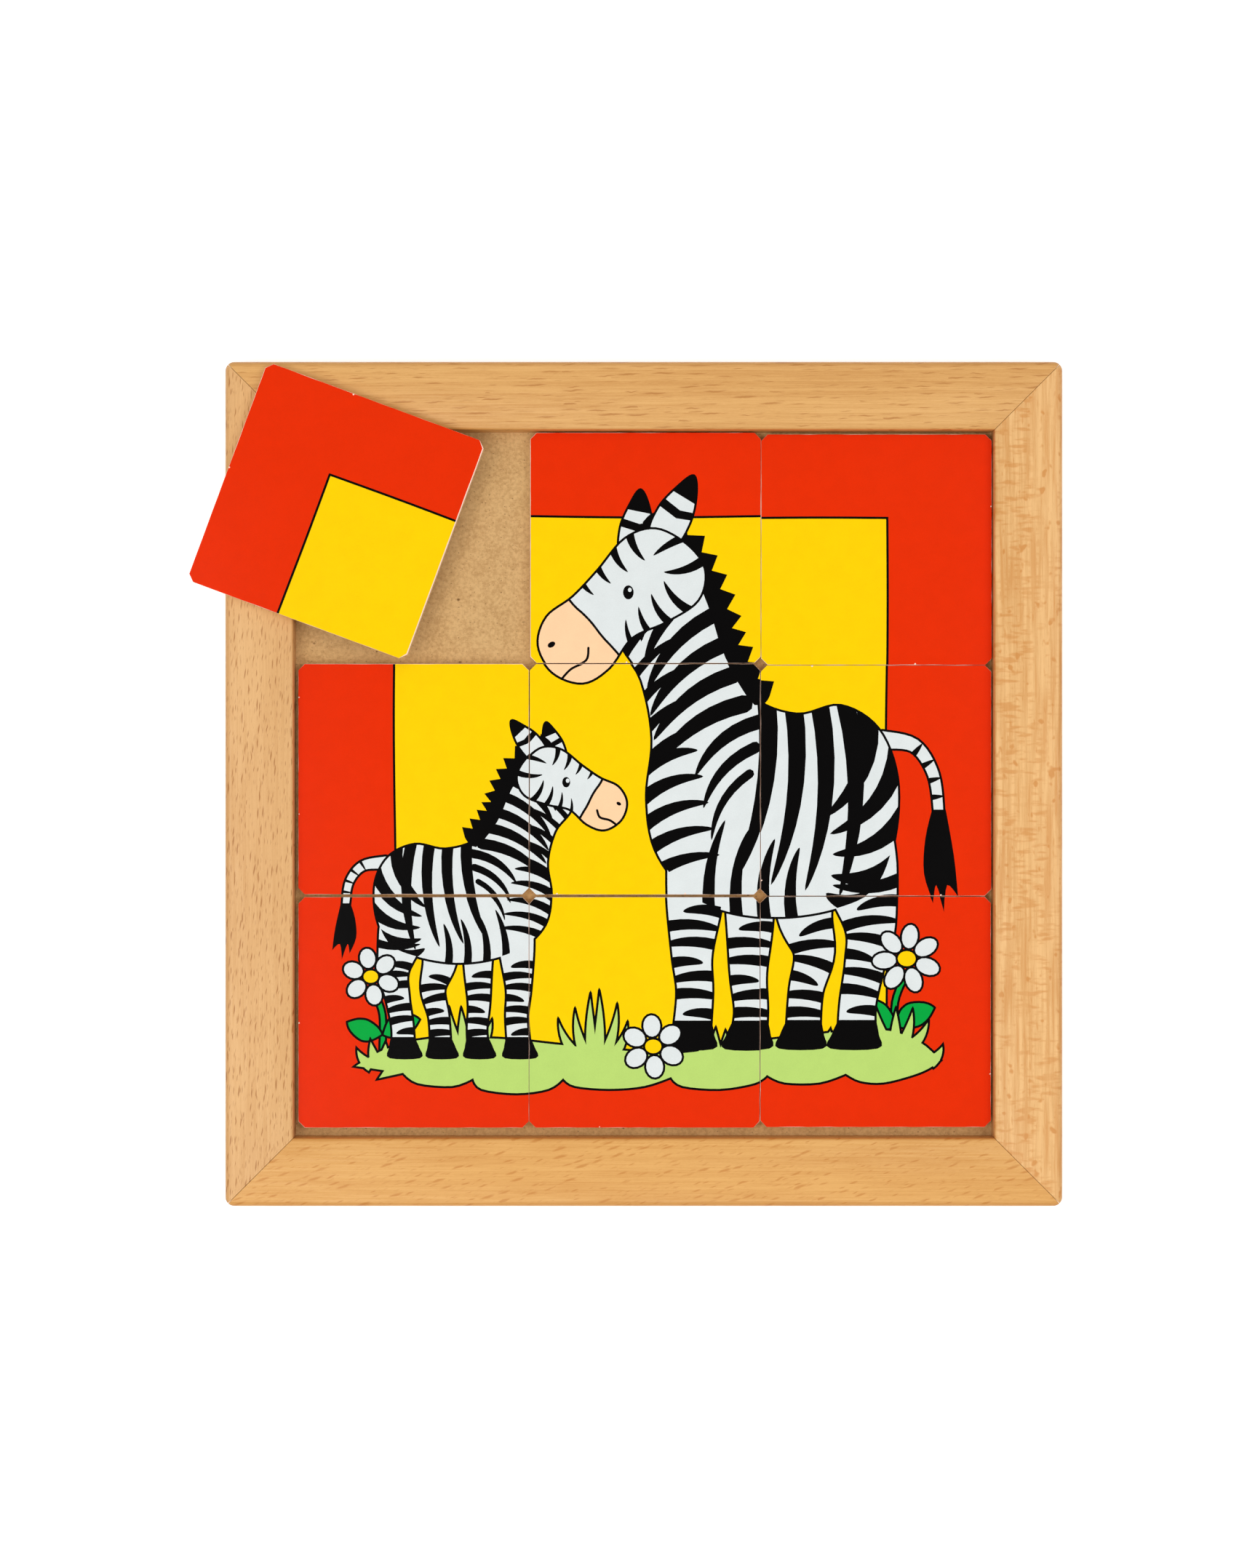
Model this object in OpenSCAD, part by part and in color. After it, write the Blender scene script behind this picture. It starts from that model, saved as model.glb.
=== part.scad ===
// Wooden tray picture puzzle: a mitred beech tray with a thin base panel, and nine loose square
// picture tiles. Eight tiles lie in the tray. The ninth lies across the tray's top left corner,
// and its empty cell lets the tiles beside it slide.
// The origin is the centre of the tray's underside. X runs to the right, Y towards the top of
// the picture and Z up.

/* [Tiles] */
// Side of one square tile
tile_side = 79.3; // [50:0.1:130]
// Thickness of a tile's plywood board
board_thickness = 3.7; // [2:0.1:4.4]
// Thickness of the printed sheet glued on a tile
print_thickness = 0.3; // [0.1:0.05:0.6]
// Leg of the small straight clip across each tile corner
corner_clip = 2.2; // [0.5:0.1:6]
// Space between two neighbouring tiles
tile_gap = 0.25; // [0.1:0.05:1]

/* [Tray] */
// Spare room beside the three columns of tiles
play_across = 1.8; // [1.6:0.1:6]
// Spare room beyond the three rows of tiles
play_down = 4.4; // [4.2:0.1:8]
// Width of a rail, seen from above
rail_width = 23.4; // [18:0.1:40]
// Height of a rail
rail_height = 12; // [10:0.1:20]
// Radius of the tray's four upright corners
corner_radius = 3; // [2.2:0.1:8]
// Radius of the rounding along the outer top edge
outer_rounding = 2; // [0.5:0.1:2.1]
// Radius of the rounding along the inner top edge
inner_rounding = 0.8; // [0.2:0.1:2]

/* [Base panel] */
// Thickness of the base panel, and depth of the rebate that takes it
panel_thickness = 3.2; // [2.4:0.1:4]
// Width of the rebate under each rail's inner edge
rebate_width = 6; // [5:0.1:8]
// Space between the panel's edge and the rebate's wall
panel_clearance = 0.3; // [0.1:0.05:0.8]

/* [V-nails] */
// Length of each leg of a corner V-nail
vnail_leg = 7; // [4:0.1:8]
// Thickness of a V-nail's steel strip
vnail_thickness = 0.8; // [0.5:0.1:1.2]
// Height of a V-nail, driven in from underneath
vnail_height = 8; // [5:0.1:9]
// Distance of a V-nail's point from the rebate, along each rail
vnail_inset = 2.5; // [1.5:0.1:4]

/* [Panel pins] */
// Radius of a pin's shank
pin_radius = 0.7; // [0.5:0.05:0.9]
// Radius of a pin's head, which lies flush in the panel's underside
pin_head_radius = 1.5; // [1.1:0.05:1.8]
// Thickness of a pin's head
pin_head_thickness = 0.6; // [0.4:0.1:1]
// Length of a pin's shank with its point
pin_length = 8; // [5:0.1:9]
// Length of a pin's point
pin_point = 1.2; // [0.5:0.1:2]
// Distance from the recess wall out to the line of the pins
pin_line_offset = 2.8; // [2:0.1:3.4]
// Distance from a corner of the recess to the first pin
pin_end_distance = 24; // [18:1:40]

/* [Ninth tile] */
// How far its middle lies to the right of the recess's top left corner
loose_right = 15.2; // [8:0.1:20]
// How far its middle lies below the recess's top left corner
loose_down = 28.3; // [22:0.1:32]
// Its turn, clockwise, in degrees
loose_turn = 20.3; // [15:0.1:25]

/* [Hidden] */
$fn = 64;
CELLS = [
    "top_left", "top_middle", "top_right",
    "middle_left", "centre", "middle_right",
    "bottom_left", "bottom_middle", "bottom_right"
];

// How far each tile lies from the middle of its own cell, to the right and up. The tiles lie
// loose, so no two seams are the same and a strip of the panel shows under the bottom row.
RESTING = [
    [0, 0], [0.6, 1.7], [0.5, 1.1],
    [0.35, 1.7], [0.4, 1.6], [0.35, 1.2],
    [0.35, 0.95], [0.25, 0.95], [0.2, 1.15]
];

pitch = tile_side + tile_gap;
recess_x = 2 * pitch + tile_side + play_across;
recess_y = 2 * pitch + tile_side + play_down;
panel_overlap = rebate_width - panel_clearance;

beech = [0.87, 0.69, 0.47];
fibreboard = [0.79, 0.63, 0.41];
plywood = [0.95, 0.82, 0.62];
red_print = [0.9, 0.22, 0.05];
yellow_print = [1, 0.83, 0.05];
steel = [0.72, 0.73, 0.75];

// The middle of cell i, counted along the rows from the top left
function cell_middle(i) = [(i % 3 - 1) * pitch, (1 - floor(i / 3)) * pitch];

// Section of a rail: X runs outwards from the recess wall, Y up. The rebate for the panel is
// underneath, and both top edges are rounded.
module rail_section() {
    difference() {
        union() {
            translate([inner_rounding, 0])
                square([rail_width - inner_rounding, rail_height - outer_rounding]);
            square([rail_width - outer_rounding, rail_height - inner_rounding]);
            translate([inner_rounding, 0])
                square([rail_width - inner_rounding - outer_rounding, rail_height]);
            translate([inner_rounding, rail_height - inner_rounding])
                circle(inner_rounding);
            translate([rail_width - outer_rounding, rail_height - outer_rounding])
                circle(outer_rounding);
        }
        translate([-1, -1])
            square([rebate_width + 1, panel_thickness + 1]);
    }
}

// The outermost part of the section, from the corner's axis outwards
module corner_section() {
    intersection() {
        translate([corner_radius - rail_width, 0]) rail_section();
        square([corner_radius, rail_height]);
    }
}

// One rail on the +X side, mitred at both ends, with half of each round corner.
// across and along are half the recess's size across and along the rail.
module rail_blank(across, along) {
    far = rail_width + 1;
    axis_x = across + rail_width - corner_radius;
    axis_y = along + rail_width - corner_radius;
    intersection() {
        union() {
            translate([across, 0, 0]) rotate([90, 0, 0])
                linear_extrude(2 * axis_y, center = true) rail_section();
            for (end = [0, 1])
                mirror([0, end, 0]) translate([axis_x, axis_y, 0])
                    rotate_extrude(angle = 90) corner_section();
        }
        translate([across, 0, -1]) linear_extrude(rail_height + 2)
            polygon([[-1, 1 - along], [far, -along - far], [far, along + far], [-1, along - 1]]);
    }
}

// A rail with its V-nail slots and pin holes, turned to its own side of the tray
module rail(across, along, turn) {
    color(beech) difference() {
        rotate([0, 0, turn]) rail_blank(across, along);
        v_nails();
        pins();
    }
}

module top_rail() {
    rail(recess_y / 2, recess_x / 2, 90);
}

module bottom_rail() {
    rail(recess_y / 2, recess_x / 2, 270);
}

module left_rail() {
    rail(recess_x / 2, recess_y / 2, 180);
}

module right_rail() {
    rail(recess_x / 2, recess_y / 2, 0);
}

// The panel lies in the rebate with its underside flush with the rails
module base_panel() {
    color(fibreboard) difference() {
        translate([-recess_x / 2 - panel_overlap, -recess_y / 2 - panel_overlap, 0])
            cube([recess_x + 2 * panel_overlap, recess_y + 2 * panel_overlap, panel_thickness]);
        pins();
    }
}

// Four V-nails, one across each mitre, with the point towards the recess
module v_nails() {
    start = rebate_width + vnail_inset;
    for (i = [0, 1], j = [0, 1])
        mirror([i, 0, 0]) mirror([0, j, 0])
            translate([recess_x / 2 + start, recess_y / 2 + start, 0])
                linear_extrude(vnail_height) {
                    square([vnail_leg, vnail_thickness]);
                    square([vnail_thickness, vnail_leg]);
                }
}

module corner_v_nails() {
    color(steel) v_nails();
}

// One panel pin, head down at the origin and point up
module pin() {
    top = pin_head_thickness + pin_length;
    rotate_extrude()
        polygon([
            [0, 0],
            [pin_head_radius, 0],
            [pin_head_radius, pin_head_thickness],
            [pin_radius, pin_head_thickness],
            [pin_radius, top - pin_point],
            [0, top]
        ]);
}

// Three pins along each side of the panel
module pins() {
    row_x = recess_x / 2 + pin_line_offset;
    row_y = recess_y / 2 + pin_line_offset;
    end_x = recess_x / 2 - pin_end_distance;
    end_y = recess_y / 2 - pin_end_distance;
    for (side = [-1, 1], step = [-1, 0, 1]) {
        translate([side * row_x, step * end_y, 0]) pin();
        translate([step * end_x, side * row_y, 0]) pin();
    }
}

module panel_pins() {
    color(steel) pins();
}

// Outline of a tile: a square with its four corners clipped
module tile_outline() {
    h = tile_side / 2;
    c = h - corner_clip;
    polygon([[-c, -h], [c, -h], [h, -c], [h, c], [c, h], [-c, h], [-h, c], [-h, -c]]);
}

// Puts a layer of tile i, starting height above the tile's underside, where the tile rests
module at_rest(i, height) {
    if (i == 0)
        translate([loose_right - recess_x / 2, recess_y / 2 - loose_down, rail_height + height])
            rotate([0, 0, -loose_turn]) children();
    else
        translate(concat(cell_middle(i) + RESTING[i], panel_thickness + height)) children();
}

module tile_board(i) {
    color(plywood) at_rest(i, 0) linear_extrude(board_thickness) tile_outline();
}

module tile_print(i) {
    color(i == 4 ? yellow_print : red_print)
        at_rest(i, board_thickness) linear_extrude(print_thickness) tile_outline();
}

top_rail();
bottom_rail();
left_rail();
right_rail();
base_panel();
corner_v_nails();
panel_pins();
for (i = [0:8]) {
    tile_board(i);
    tile_print(i);
}
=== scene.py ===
"""A wooden tray picture puzzle: a mitred beech tray, its fibreboard panel and nine loose tiles.

The tiles carry a printed picture of a zebra mare and her foal. Sizes are in metres in the tray's
own frame, except in the picture and in the materials, which are drawn in millimetres.
"""

import logging
import math
import random
from dataclasses import dataclass, field
from enum import Enum
from typing import Iterable, Sequence

import bmesh
import bpy
import numpy as np
from mathutils import Matrix, Vector
from mathutils.geometry import delaunay_2d_cdt


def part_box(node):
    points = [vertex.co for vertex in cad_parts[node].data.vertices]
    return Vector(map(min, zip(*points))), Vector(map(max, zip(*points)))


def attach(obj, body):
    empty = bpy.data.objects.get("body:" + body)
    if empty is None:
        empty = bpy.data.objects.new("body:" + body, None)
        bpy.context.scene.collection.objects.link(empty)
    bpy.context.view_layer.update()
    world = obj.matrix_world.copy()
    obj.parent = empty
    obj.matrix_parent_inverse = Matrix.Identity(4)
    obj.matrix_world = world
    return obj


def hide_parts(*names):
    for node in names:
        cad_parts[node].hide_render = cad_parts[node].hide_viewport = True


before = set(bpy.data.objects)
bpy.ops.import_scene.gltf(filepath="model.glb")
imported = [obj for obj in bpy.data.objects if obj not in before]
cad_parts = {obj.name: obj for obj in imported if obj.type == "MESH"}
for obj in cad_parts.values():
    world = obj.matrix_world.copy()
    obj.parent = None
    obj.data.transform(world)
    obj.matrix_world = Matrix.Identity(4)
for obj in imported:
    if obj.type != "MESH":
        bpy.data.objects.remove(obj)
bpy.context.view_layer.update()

log = logging.getLogger("tray_puzzle")

MM = 0.001
Colour = tuple[float, float, float, float]
Place = tuple[float, float, float]
Knots = Sequence[tuple]
Socket = bpy.types.NodeSocket
Material = bpy.types.Material
Mesh = bpy.types.Mesh


def shade(red: int, green: int, blue: int) -> Colour:
    """A colour from its 0 to 255 display values."""
    parts = [c / 255 for c in (red, green, blue)]
    return (*[c / 12.92 if c <= 0.04045 else ((c + 0.055) / 1.055) ** 2.4 for c in parts], 1.0)


# ---------------------------------------------------------------------------------------------
# Node trees
# ---------------------------------------------------------------------------------------------


class Nodes:
    """Adds nodes to one tree and joins them up."""

    def __init__(self, tree: bpy.types.NodeTree) -> None:
        """Starts work on a shader or geometry tree."""
        self.tree = tree

    def add(self, kind: str, inputs: dict | None = None, **settings: object) -> bpy.types.Node:
        """Adds one node.

        Args:
            kind: The node's type name.
            inputs: Values or sockets for its inputs, by name or number.
            settings: The node's own settings.

        Returns:
            The new node.
        """
        node = self.tree.nodes.new(kind)
        for name, value in settings.items():
            setattr(node, name, value)
        for key, value in (inputs or {}).items():
            if isinstance(value, Socket):
                self.join(value, node.inputs[key])
            else:
                node.inputs[key].default_value = value
        return node

    def join(self, source: Socket, target: Socket) -> None:
        """Links two sockets."""
        self.tree.links.new(source, target)

    def math(self, operation: str, first: object, second: object = 0.0, clamp: bool = False) -> Socket:
        """Works out one sum on two numbers or sockets, held between 0 and 1 if clamp is set."""
        node = self.add("ShaderNodeMath", {0: first, 1: second}, operation=operation, use_clamp=clamp)
        return node.outputs[0]

    def mix(self, share: object, first: object, second: object, blend: str = "MIX") -> Socket:
        """Mixes two colours: share 0 gives the first and 1 the second, or both combined by blend."""
        inputs = {0: share, 6: first, 7: second}
        return self.add("ShaderNodeMix", inputs, data_type="RGBA", blend_type=blend).outputs[2]

    def ramp(self, value: object, low: float, high: float, start: float = 0.0, end: float = 1.0) -> Socket:
        """Carries a value from the range low to high over to start to end, with soft ends."""
        inputs = {0: value, 1: low, 2: high, 3: start, 4: end}
        return self.add("ShaderNodeMapRange", inputs, interpolation_type="SMOOTHSTEP").outputs[0]

    def stretched(self, vector: object, scale: Place, move: Place = (0, 0, 0)) -> Socket:
        """Scales a vector, then moves it, and returns the result."""
        inputs = {"Vector": vector, "Scale": scale, "Location": move}
        return self.add("ShaderNodeMapping", inputs).outputs[0]

    def noise(self, vector: object, detail: float = 2.0, roughness: float = 0.5) -> Socket:
        """Adds a noise of scale 1 and returns its value, which is mostly 0.3 to 0.7."""
        inputs = {"Vector": vector, "Scale": 1.0, "Detail": detail, "Roughness": roughness}
        return self.add("ShaderNodeTexNoise", inputs).outputs["Fac"]


@dataclass(frozen=True)
class Port:
    """One named input or output of a node group.

    Args:
        name: Its name.
        kind: The type name of its socket.
        value: Its value where nothing is joined to it, or None.
    """

    name: str
    kind: str = "NodeSocketFloat"
    value: object = None


def node_group(name: str, kind: str, inputs: Iterable[Port], outputs: Iterable[Port]
               ) -> tuple[bpy.types.NodeTree, Nodes, bpy.types.Node, bpy.types.Node]:
    """Starts a node group with named inputs and outputs.

    Args:
        name: The group's name.
        kind: ShaderNodeTree or GeometryNodeTree.
        inputs: Its input ports.
        outputs: Its output ports.

    Returns:
        The tree, its Nodes helper, the group input node and the group output node.
    """
    tree = bpy.data.node_groups.new(name, kind)
    for ports, side in ((inputs, "INPUT"), (outputs, "OUTPUT")):
        for port in ports:
            socket = tree.interface.new_socket(port.name, in_out=side, socket_type=port.kind)
            if port.value is not None:
                socket.default_value = port.value
    nodes = Nodes(tree)
    return tree, nodes, nodes.add("NodeGroupInput"), nodes.add("NodeGroupOutput")


VECTOR = "NodeSocketVector"
COLOUR = "NodeSocketColor"


class Effects:
    """The shader effects that several materials share, each built once.

    Their scales count repeats per millimetre, except that the spindle flecks count in cells.
    """

    # How far a cell of flecks reaches along the wood's rays, in millimetres
    RAY_HEIGHT = 5.0
    # Half the length and the depth of a fleck of size 1, as shares of its cell
    FLECK_LENGTH = 0.42
    FLECK_DEPTH = 0.7
    # The smallest size of a fleck; the largest is 1 more
    FLECK_LEAST = 0.4

    def __init__(self) -> None:
        """Builds the groups."""
        self.handling = self.build_handling()
        self.spindles = self.build_spindles()
        self.wood = self.build_wood()
        self.board = self.build_board()
        self.print = self.build_print()

    @staticmethod
    def build_handling() -> bpy.types.NodeTree:
        """Light rub marks and cloudiness from hands, which change the gloss and leave a faint relief.

        Returns:
            The group, with outputs Gloss Change and Height.
        """
        tree, n, start, end = node_group(
            "handling", "ShaderNodeTree",
            [Port("Vector", VECTOR), Port("Amount", value=0.1)],
            [Port("Gloss Change"), Port("Height")])
        clouds = n.noise(n.stretched(start.outputs["Vector"], (0.05, 0.05, 0.05)), 3.0)
        turned = n.add("ShaderNodeMapping", {
            "Vector": start.outputs["Vector"], "Rotation": (0.3, 0.2, 0.6),
            "Scale": (0.03, 1.6, 1.6)}).outputs[0]
        rubs = n.ramp(n.noise(turned, 4.0, 0.7), 0.58, 0.78)
        both = n.math("ADD", n.math("SUBTRACT", clouds, 0.5), n.math("MULTIPLY", rubs, 0.6))
        n.join(n.math("MULTIPLY", both, start.outputs["Amount"]), end.inputs["Gloss Change"])
        n.join(n.math("MULTIPLY", rubs, -1.0), end.inputs["Height"])
        return tree

    @staticmethod
    def build_spindles() -> bpy.types.NodeTree:
        """Spindle-shaped flecks that lie along X, at most one to a cell, and run deep along Z as rays do.

        Returns:
            The group, with output Mask.
        """
        tree, n, start, end = node_group(
            "spindle flecks", "ShaderNodeTree",
            [Port("Vector", VECTOR), Port("Cover", value=0.6), Port("Length", value=Effects.FLECK_LENGTH),
             Port("Width", value=0.1)],
            [Port("Mask")])
        place = start.outputs["Vector"]
        cells = n.add("ShaderNodeTexVoronoi", {"Vector": place, "Scale": 1.0, "Randomness": 1.0})
        chance = n.add("ShaderNodeSeparateColor", {0: cells.outputs["Color"]})
        there = n.ramp(n.math("SUBTRACT", start.outputs["Cover"], chance.outputs[0]), -0.04, 0.25)
        size = n.math("ADD", chance.outputs[1], Effects.FLECK_LEAST)
        middle = cells.outputs["Position"]
        off = n.add("ShaderNodeVectorMath", {0: place, 1: middle}, operation="SUBTRACT").outputs[0]
        x, y, z = n.add("ShaderNodeSeparateXYZ", {0: off}).outputs
        scaled = n.add("ShaderNodeCombineXYZ", {
            0: n.math("DIVIDE", x, n.math("MULTIPLY", size, start.outputs["Length"])),
            1: n.math("DIVIDE", y, n.math("MULTIPLY", size, start.outputs["Width"])),
            2: n.math("DIVIDE", z, Effects.FLECK_DEPTH)}).outputs[0]
        away = n.add("ShaderNodeVectorMath", {0: scaled}, operation="LENGTH").outputs["Value"]
        n.join(n.math("MULTIPLY", n.ramp(away, 1.05, 0.35), there), end.inputs["Mask"])
        return tree

    def flecked(self, n: Nodes, cells: Socket, cover: object, length: object, width: object) -> Socket:
        """Places the spindle flecks, with half their length and width as shares of a cell."""
        inputs = {"Vector": cells, "Cover": cover, "Length": length, "Width": width}
        return n.add("ShaderNodeGroup", inputs, node_tree=self.spindles).outputs["Mask"]

    def build_wood(self) -> bpy.types.NodeTree:
        """Beech with its grain along X: soft tones, growth lines, fibres, flecks and silvery figure.

        Returns:
            The group, with outputs Color, Roughness and Height.
        """
        tree, n, start, end = node_group(
            "beech grain", "ShaderNodeTree",
            [Port("Vector", VECTOR), Port("Light", COLOUR), Port("Dark", COLOUR), Port("Fleck", COLOUR),
             Port("Fleck Cover", value=0.7), Port("Fleck Strength", value=0.7),
             Port("Fleck Length", value=3.4), Port("Fleck Spacing", value=2.4),
             Port("Fleck Width", value=0.5), Port("Fleck Slant", value=0.0),
             Port("Growth Lines", value=0.3), Port("Figure", value=0.0), Port("Roughness", value=0.4)],
            [Port("Color", COLOUR), Port("Roughness"), Port("Height")])
        place = start.outputs["Vector"]
        tone = n.ramp(n.noise(n.stretched(place, (0.011, 0.085, 0.085)), 3.0), 0.32, 0.68)
        growth = n.add("ShaderNodeTexWave", {
            "Vector": n.stretched(place, (0.0022, 0.085, 0.085)), "Scale": 1.0, "Distortion": 5.5,
            "Detail": 3.0, "Detail Scale": 1.6, "Detail Roughness": 0.55},
            bands_direction="Y", wave_profile="SAW").outputs["Fac"]
        fibres = n.noise(n.stretched(place, (0.06, 2.3, 2.3)), 5.0, 0.62)
        fine = n.noise(n.stretched(place, (0.6, 4.5, 4.5)), 3.0, 0.7)
        dark = n.math("ADD", n.math("MULTIPLY", tone, 0.42),
                      n.math("MULTIPLY", growth, start.outputs["Growth Lines"]))
        dark = n.math("ADD", dark, n.ramp(fibres, 0.35, 0.68, -0.18, 0.3))
        dark = n.math("ADD", dark, n.ramp(fine, 0.35, 0.7, -0.10, 0.16), clamp=True)
        colour = n.mix(dark, start.outputs["Light"], start.outputs["Dark"])
        # The figure lies across the grain: short bars, soft spots, and pale streaks between them
        figure = start.outputs["Figure"]
        bars = n.noise(n.stretched(place, (0.62, 0.15, 0.15), (3, 7, 1)), 2.0, 0.5)
        streak = n.noise(n.stretched(place, (0.03, 0.6, 0.6), (9, 2, 4)), 3.0, 0.6)
        where = n.noise(n.stretched(place, (0.03, 0.09, 0.09), (1, 5, 2)), 2.0, 0.5)
        barred = n.math("MULTIPLY", n.ramp(bars, 0.46, 0.66), n.ramp(where, 0.36, 0.56))
        lined = n.math("MULTIPLY", n.ramp(streak, 0.46, 0.66), n.ramp(where, 0.66, 0.44))
        spots = n.ramp(n.noise(n.stretched(place, (0.30, 0.36, 0.36), (12, 4, 9)), 1.0, 0.5), 0.62, 0.76)
        pale = n.mix(1.0, start.outputs["Light"], (1.06, 1.08, 1.12, 1.0), "MULTIPLY")
        colour = n.mix(n.math("MULTIPLY", n.ramp(streak, 0.52, 0.36), figure), colour, pale)
        both = n.math("MAXIMUM", n.math("MULTIPLY", barred, 0.7), n.math("MULTIPLY", lined, 0.6))
        both = n.math("MAXIMUM", both, n.math("MULTIPLY", spots, 0.9))
        colour = n.mix(n.math("MULTIPLY", both, figure), colour, start.outputs["Fleck"])
        # The flecks bend a little and may slant against the growth lines
        inputs = {"Vector": place, "Angle": start.outputs["Fleck Slant"]}
        slanted = n.add("ShaderNodeVectorRotate", inputs, rotation_type="Z_AXIS").outputs[0]
        bend = n.math("SUBTRACT", n.noise(n.stretched(place, (0.25, 0.25, 0.1)), 2.0), 0.5)
        sideways = n.add("ShaderNodeCombineXYZ", {1: bend}).outputs[0]
        bent = n.add("ShaderNodeVectorMath", {0: slanted, 1: sideways}).outputs[0]
        spacing = start.outputs["Fleck Spacing"]
        inputs = {0: start.outputs["Fleck Length"], 1: spacing, 2: self.RAY_HEIGHT}
        cell = n.add("ShaderNodeCombineXYZ", inputs).outputs[0]
        cells = n.add("ShaderNodeVectorMath", {0: bent, 1: cell}, operation="DIVIDE").outputs[0]
        # Half the width of a fleck of size 1, so that one of mean size is as wide as asked
        twice_mean = 2 * self.FLECK_LEAST + 1
        half = n.math("DIVIDE", start.outputs["Fleck Width"], n.math("MULTIPLY", spacing, twice_mean))
        large = self.flecked(n, cells, start.outputs["Fleck Cover"], self.FLECK_LENGTH, half)
        closer = n.stretched(cells, (1.6, 1.6, 1.0), (5, 3, 8))
        small = self.flecked(n, closer, 0.6, self.FLECK_LENGTH, half)
        marks = n.math("MAXIMUM", large, n.math("MULTIPLY", small, 0.5))
        marks = n.math("MULTIPLY", marks, start.outputs["Fleck Strength"])
        colour = n.mix(marks, colour, start.outputs["Fleck"])
        n.join(colour, end.inputs["Color"])
        rough = n.math("ADD", start.outputs["Roughness"], n.ramp(fibres, 0.3, 0.7, -0.05, 0.08))
        n.join(rough, end.inputs["Roughness"])
        relief = n.math("SUBTRACT", n.math("MULTIPLY", fibres, 0.8), n.math("MULTIPLY", marks, 0.6))
        n.join(relief, end.inputs["Height"])
        return tree

    def build_board(self) -> bpy.types.NodeTree:
        """Pressed fibreboard: a cloudy felt of short fibres with scattered dark specks.

        Returns:
            The group, with outputs Color and Height.
        """
        tree, n, start, end = node_group(
            "pressed fibres", "ShaderNodeTree",
            [Port("Vector", VECTOR), Port("Light", COLOUR), Port("Dark", COLOUR), Port("Speck", COLOUR)],
            [Port("Color", COLOUR), Port("Height")])
        place = start.outputs["Vector"]
        clouds = n.noise(n.stretched(place, (0.12, 0.12, 0.12)), 4.0, 0.6)
        felt = n.noise(n.stretched(place, (0.85, 0.85, 0.85)), 4.0, 0.75)
        across = n.noise(n.stretched(place, (0.6, 3.2, 3.2), (4, 1, 0)), 3.0, 0.7)
        along = n.noise(n.stretched(place, (3.2, 0.6, 3.2), (0, 6, 2)), 3.0, 0.7)
        dark = n.math("ADD", n.ramp(clouds, 0.3, 0.7, 0.0, 0.3), n.ramp(felt, 0.34, 0.66, -0.22, 0.44))
        crossed = n.ramp(n.math("MAXIMUM", across, along), 0.5, 0.75, 0.0, 0.3)
        dark = n.math("ADD", dark, crossed, clamp=True)
        colour = n.mix(dark, start.outputs["Light"], start.outputs["Dark"])
        for density, cover, size, strength in ((0.75, 0.32, 0.17, 0.6), (0.14, 0.3, 0.065, 0.9)):
            cells = n.stretched(place, (density, density, 0.06))
            specks = self.flecked(n, cells, cover, size * 1.3, size)
            colour = n.mix(n.math("MULTIPLY", specks, strength), colour, start.outputs["Speck"])
        n.join(colour, end.inputs["Color"])
        n.join(n.math("ADD", n.math("MULTIPLY", felt, 0.7), across), end.inputs["Height"])
        return tree

    @staticmethod
    def build_print() -> bpy.types.NodeTree:
        """An ink as it lies on the sheet: faintly mottled, with a fine screen and the sheet's own tooth.

        Returns:
            The group, with outputs Color and Height.
        """
        tree, n, start, end = node_group(
            "printed ink", "ShaderNodeTree",
            [Port("Vector", VECTOR), Port("Ink", COLOUR), Port("Mottle", value=0.05)],
            [Port("Color", COLOUR), Port("Height")])
        place = start.outputs["Vector"]
        cloud = n.noise(n.stretched(place, (0.16, 0.16, 0.16)), 4.0, 0.6)
        tooth = n.noise(n.stretched(place, (2.4, 2.4, 2.4)), 3.0, 0.7)
        slanted = n.add("ShaderNodeMapping", {
            "Vector": place, "Rotation": (0, 0, 0.79), "Scale": (3.3, 3.3, 0.5)}).outputs[0]
        inputs = {"Vector": slanted, "Scale": 1.0, "Randomness": 0.0}
        screen = n.add("ShaderNodeTexVoronoi", inputs).outputs["Distance"]
        change = n.math("ADD", n.ramp(cloud, 0.3, 0.7, -0.5, 0.5), n.ramp(tooth, 0.3, 0.7, -0.6, 0.6))
        change = n.math("ADD", change, n.ramp(screen, 0.2, 0.6, -0.3, 0.3))
        value = n.math("ADD", 1.0, n.math("MULTIPLY", change, start.outputs["Mottle"]))
        tinted = n.add("ShaderNodeHueSaturation", {"Color": start.outputs["Ink"], "Value": value})
        n.join(tinted.outputs[0], end.inputs["Color"])
        n.join(tooth, end.inputs["Height"])
        return tree


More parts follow.
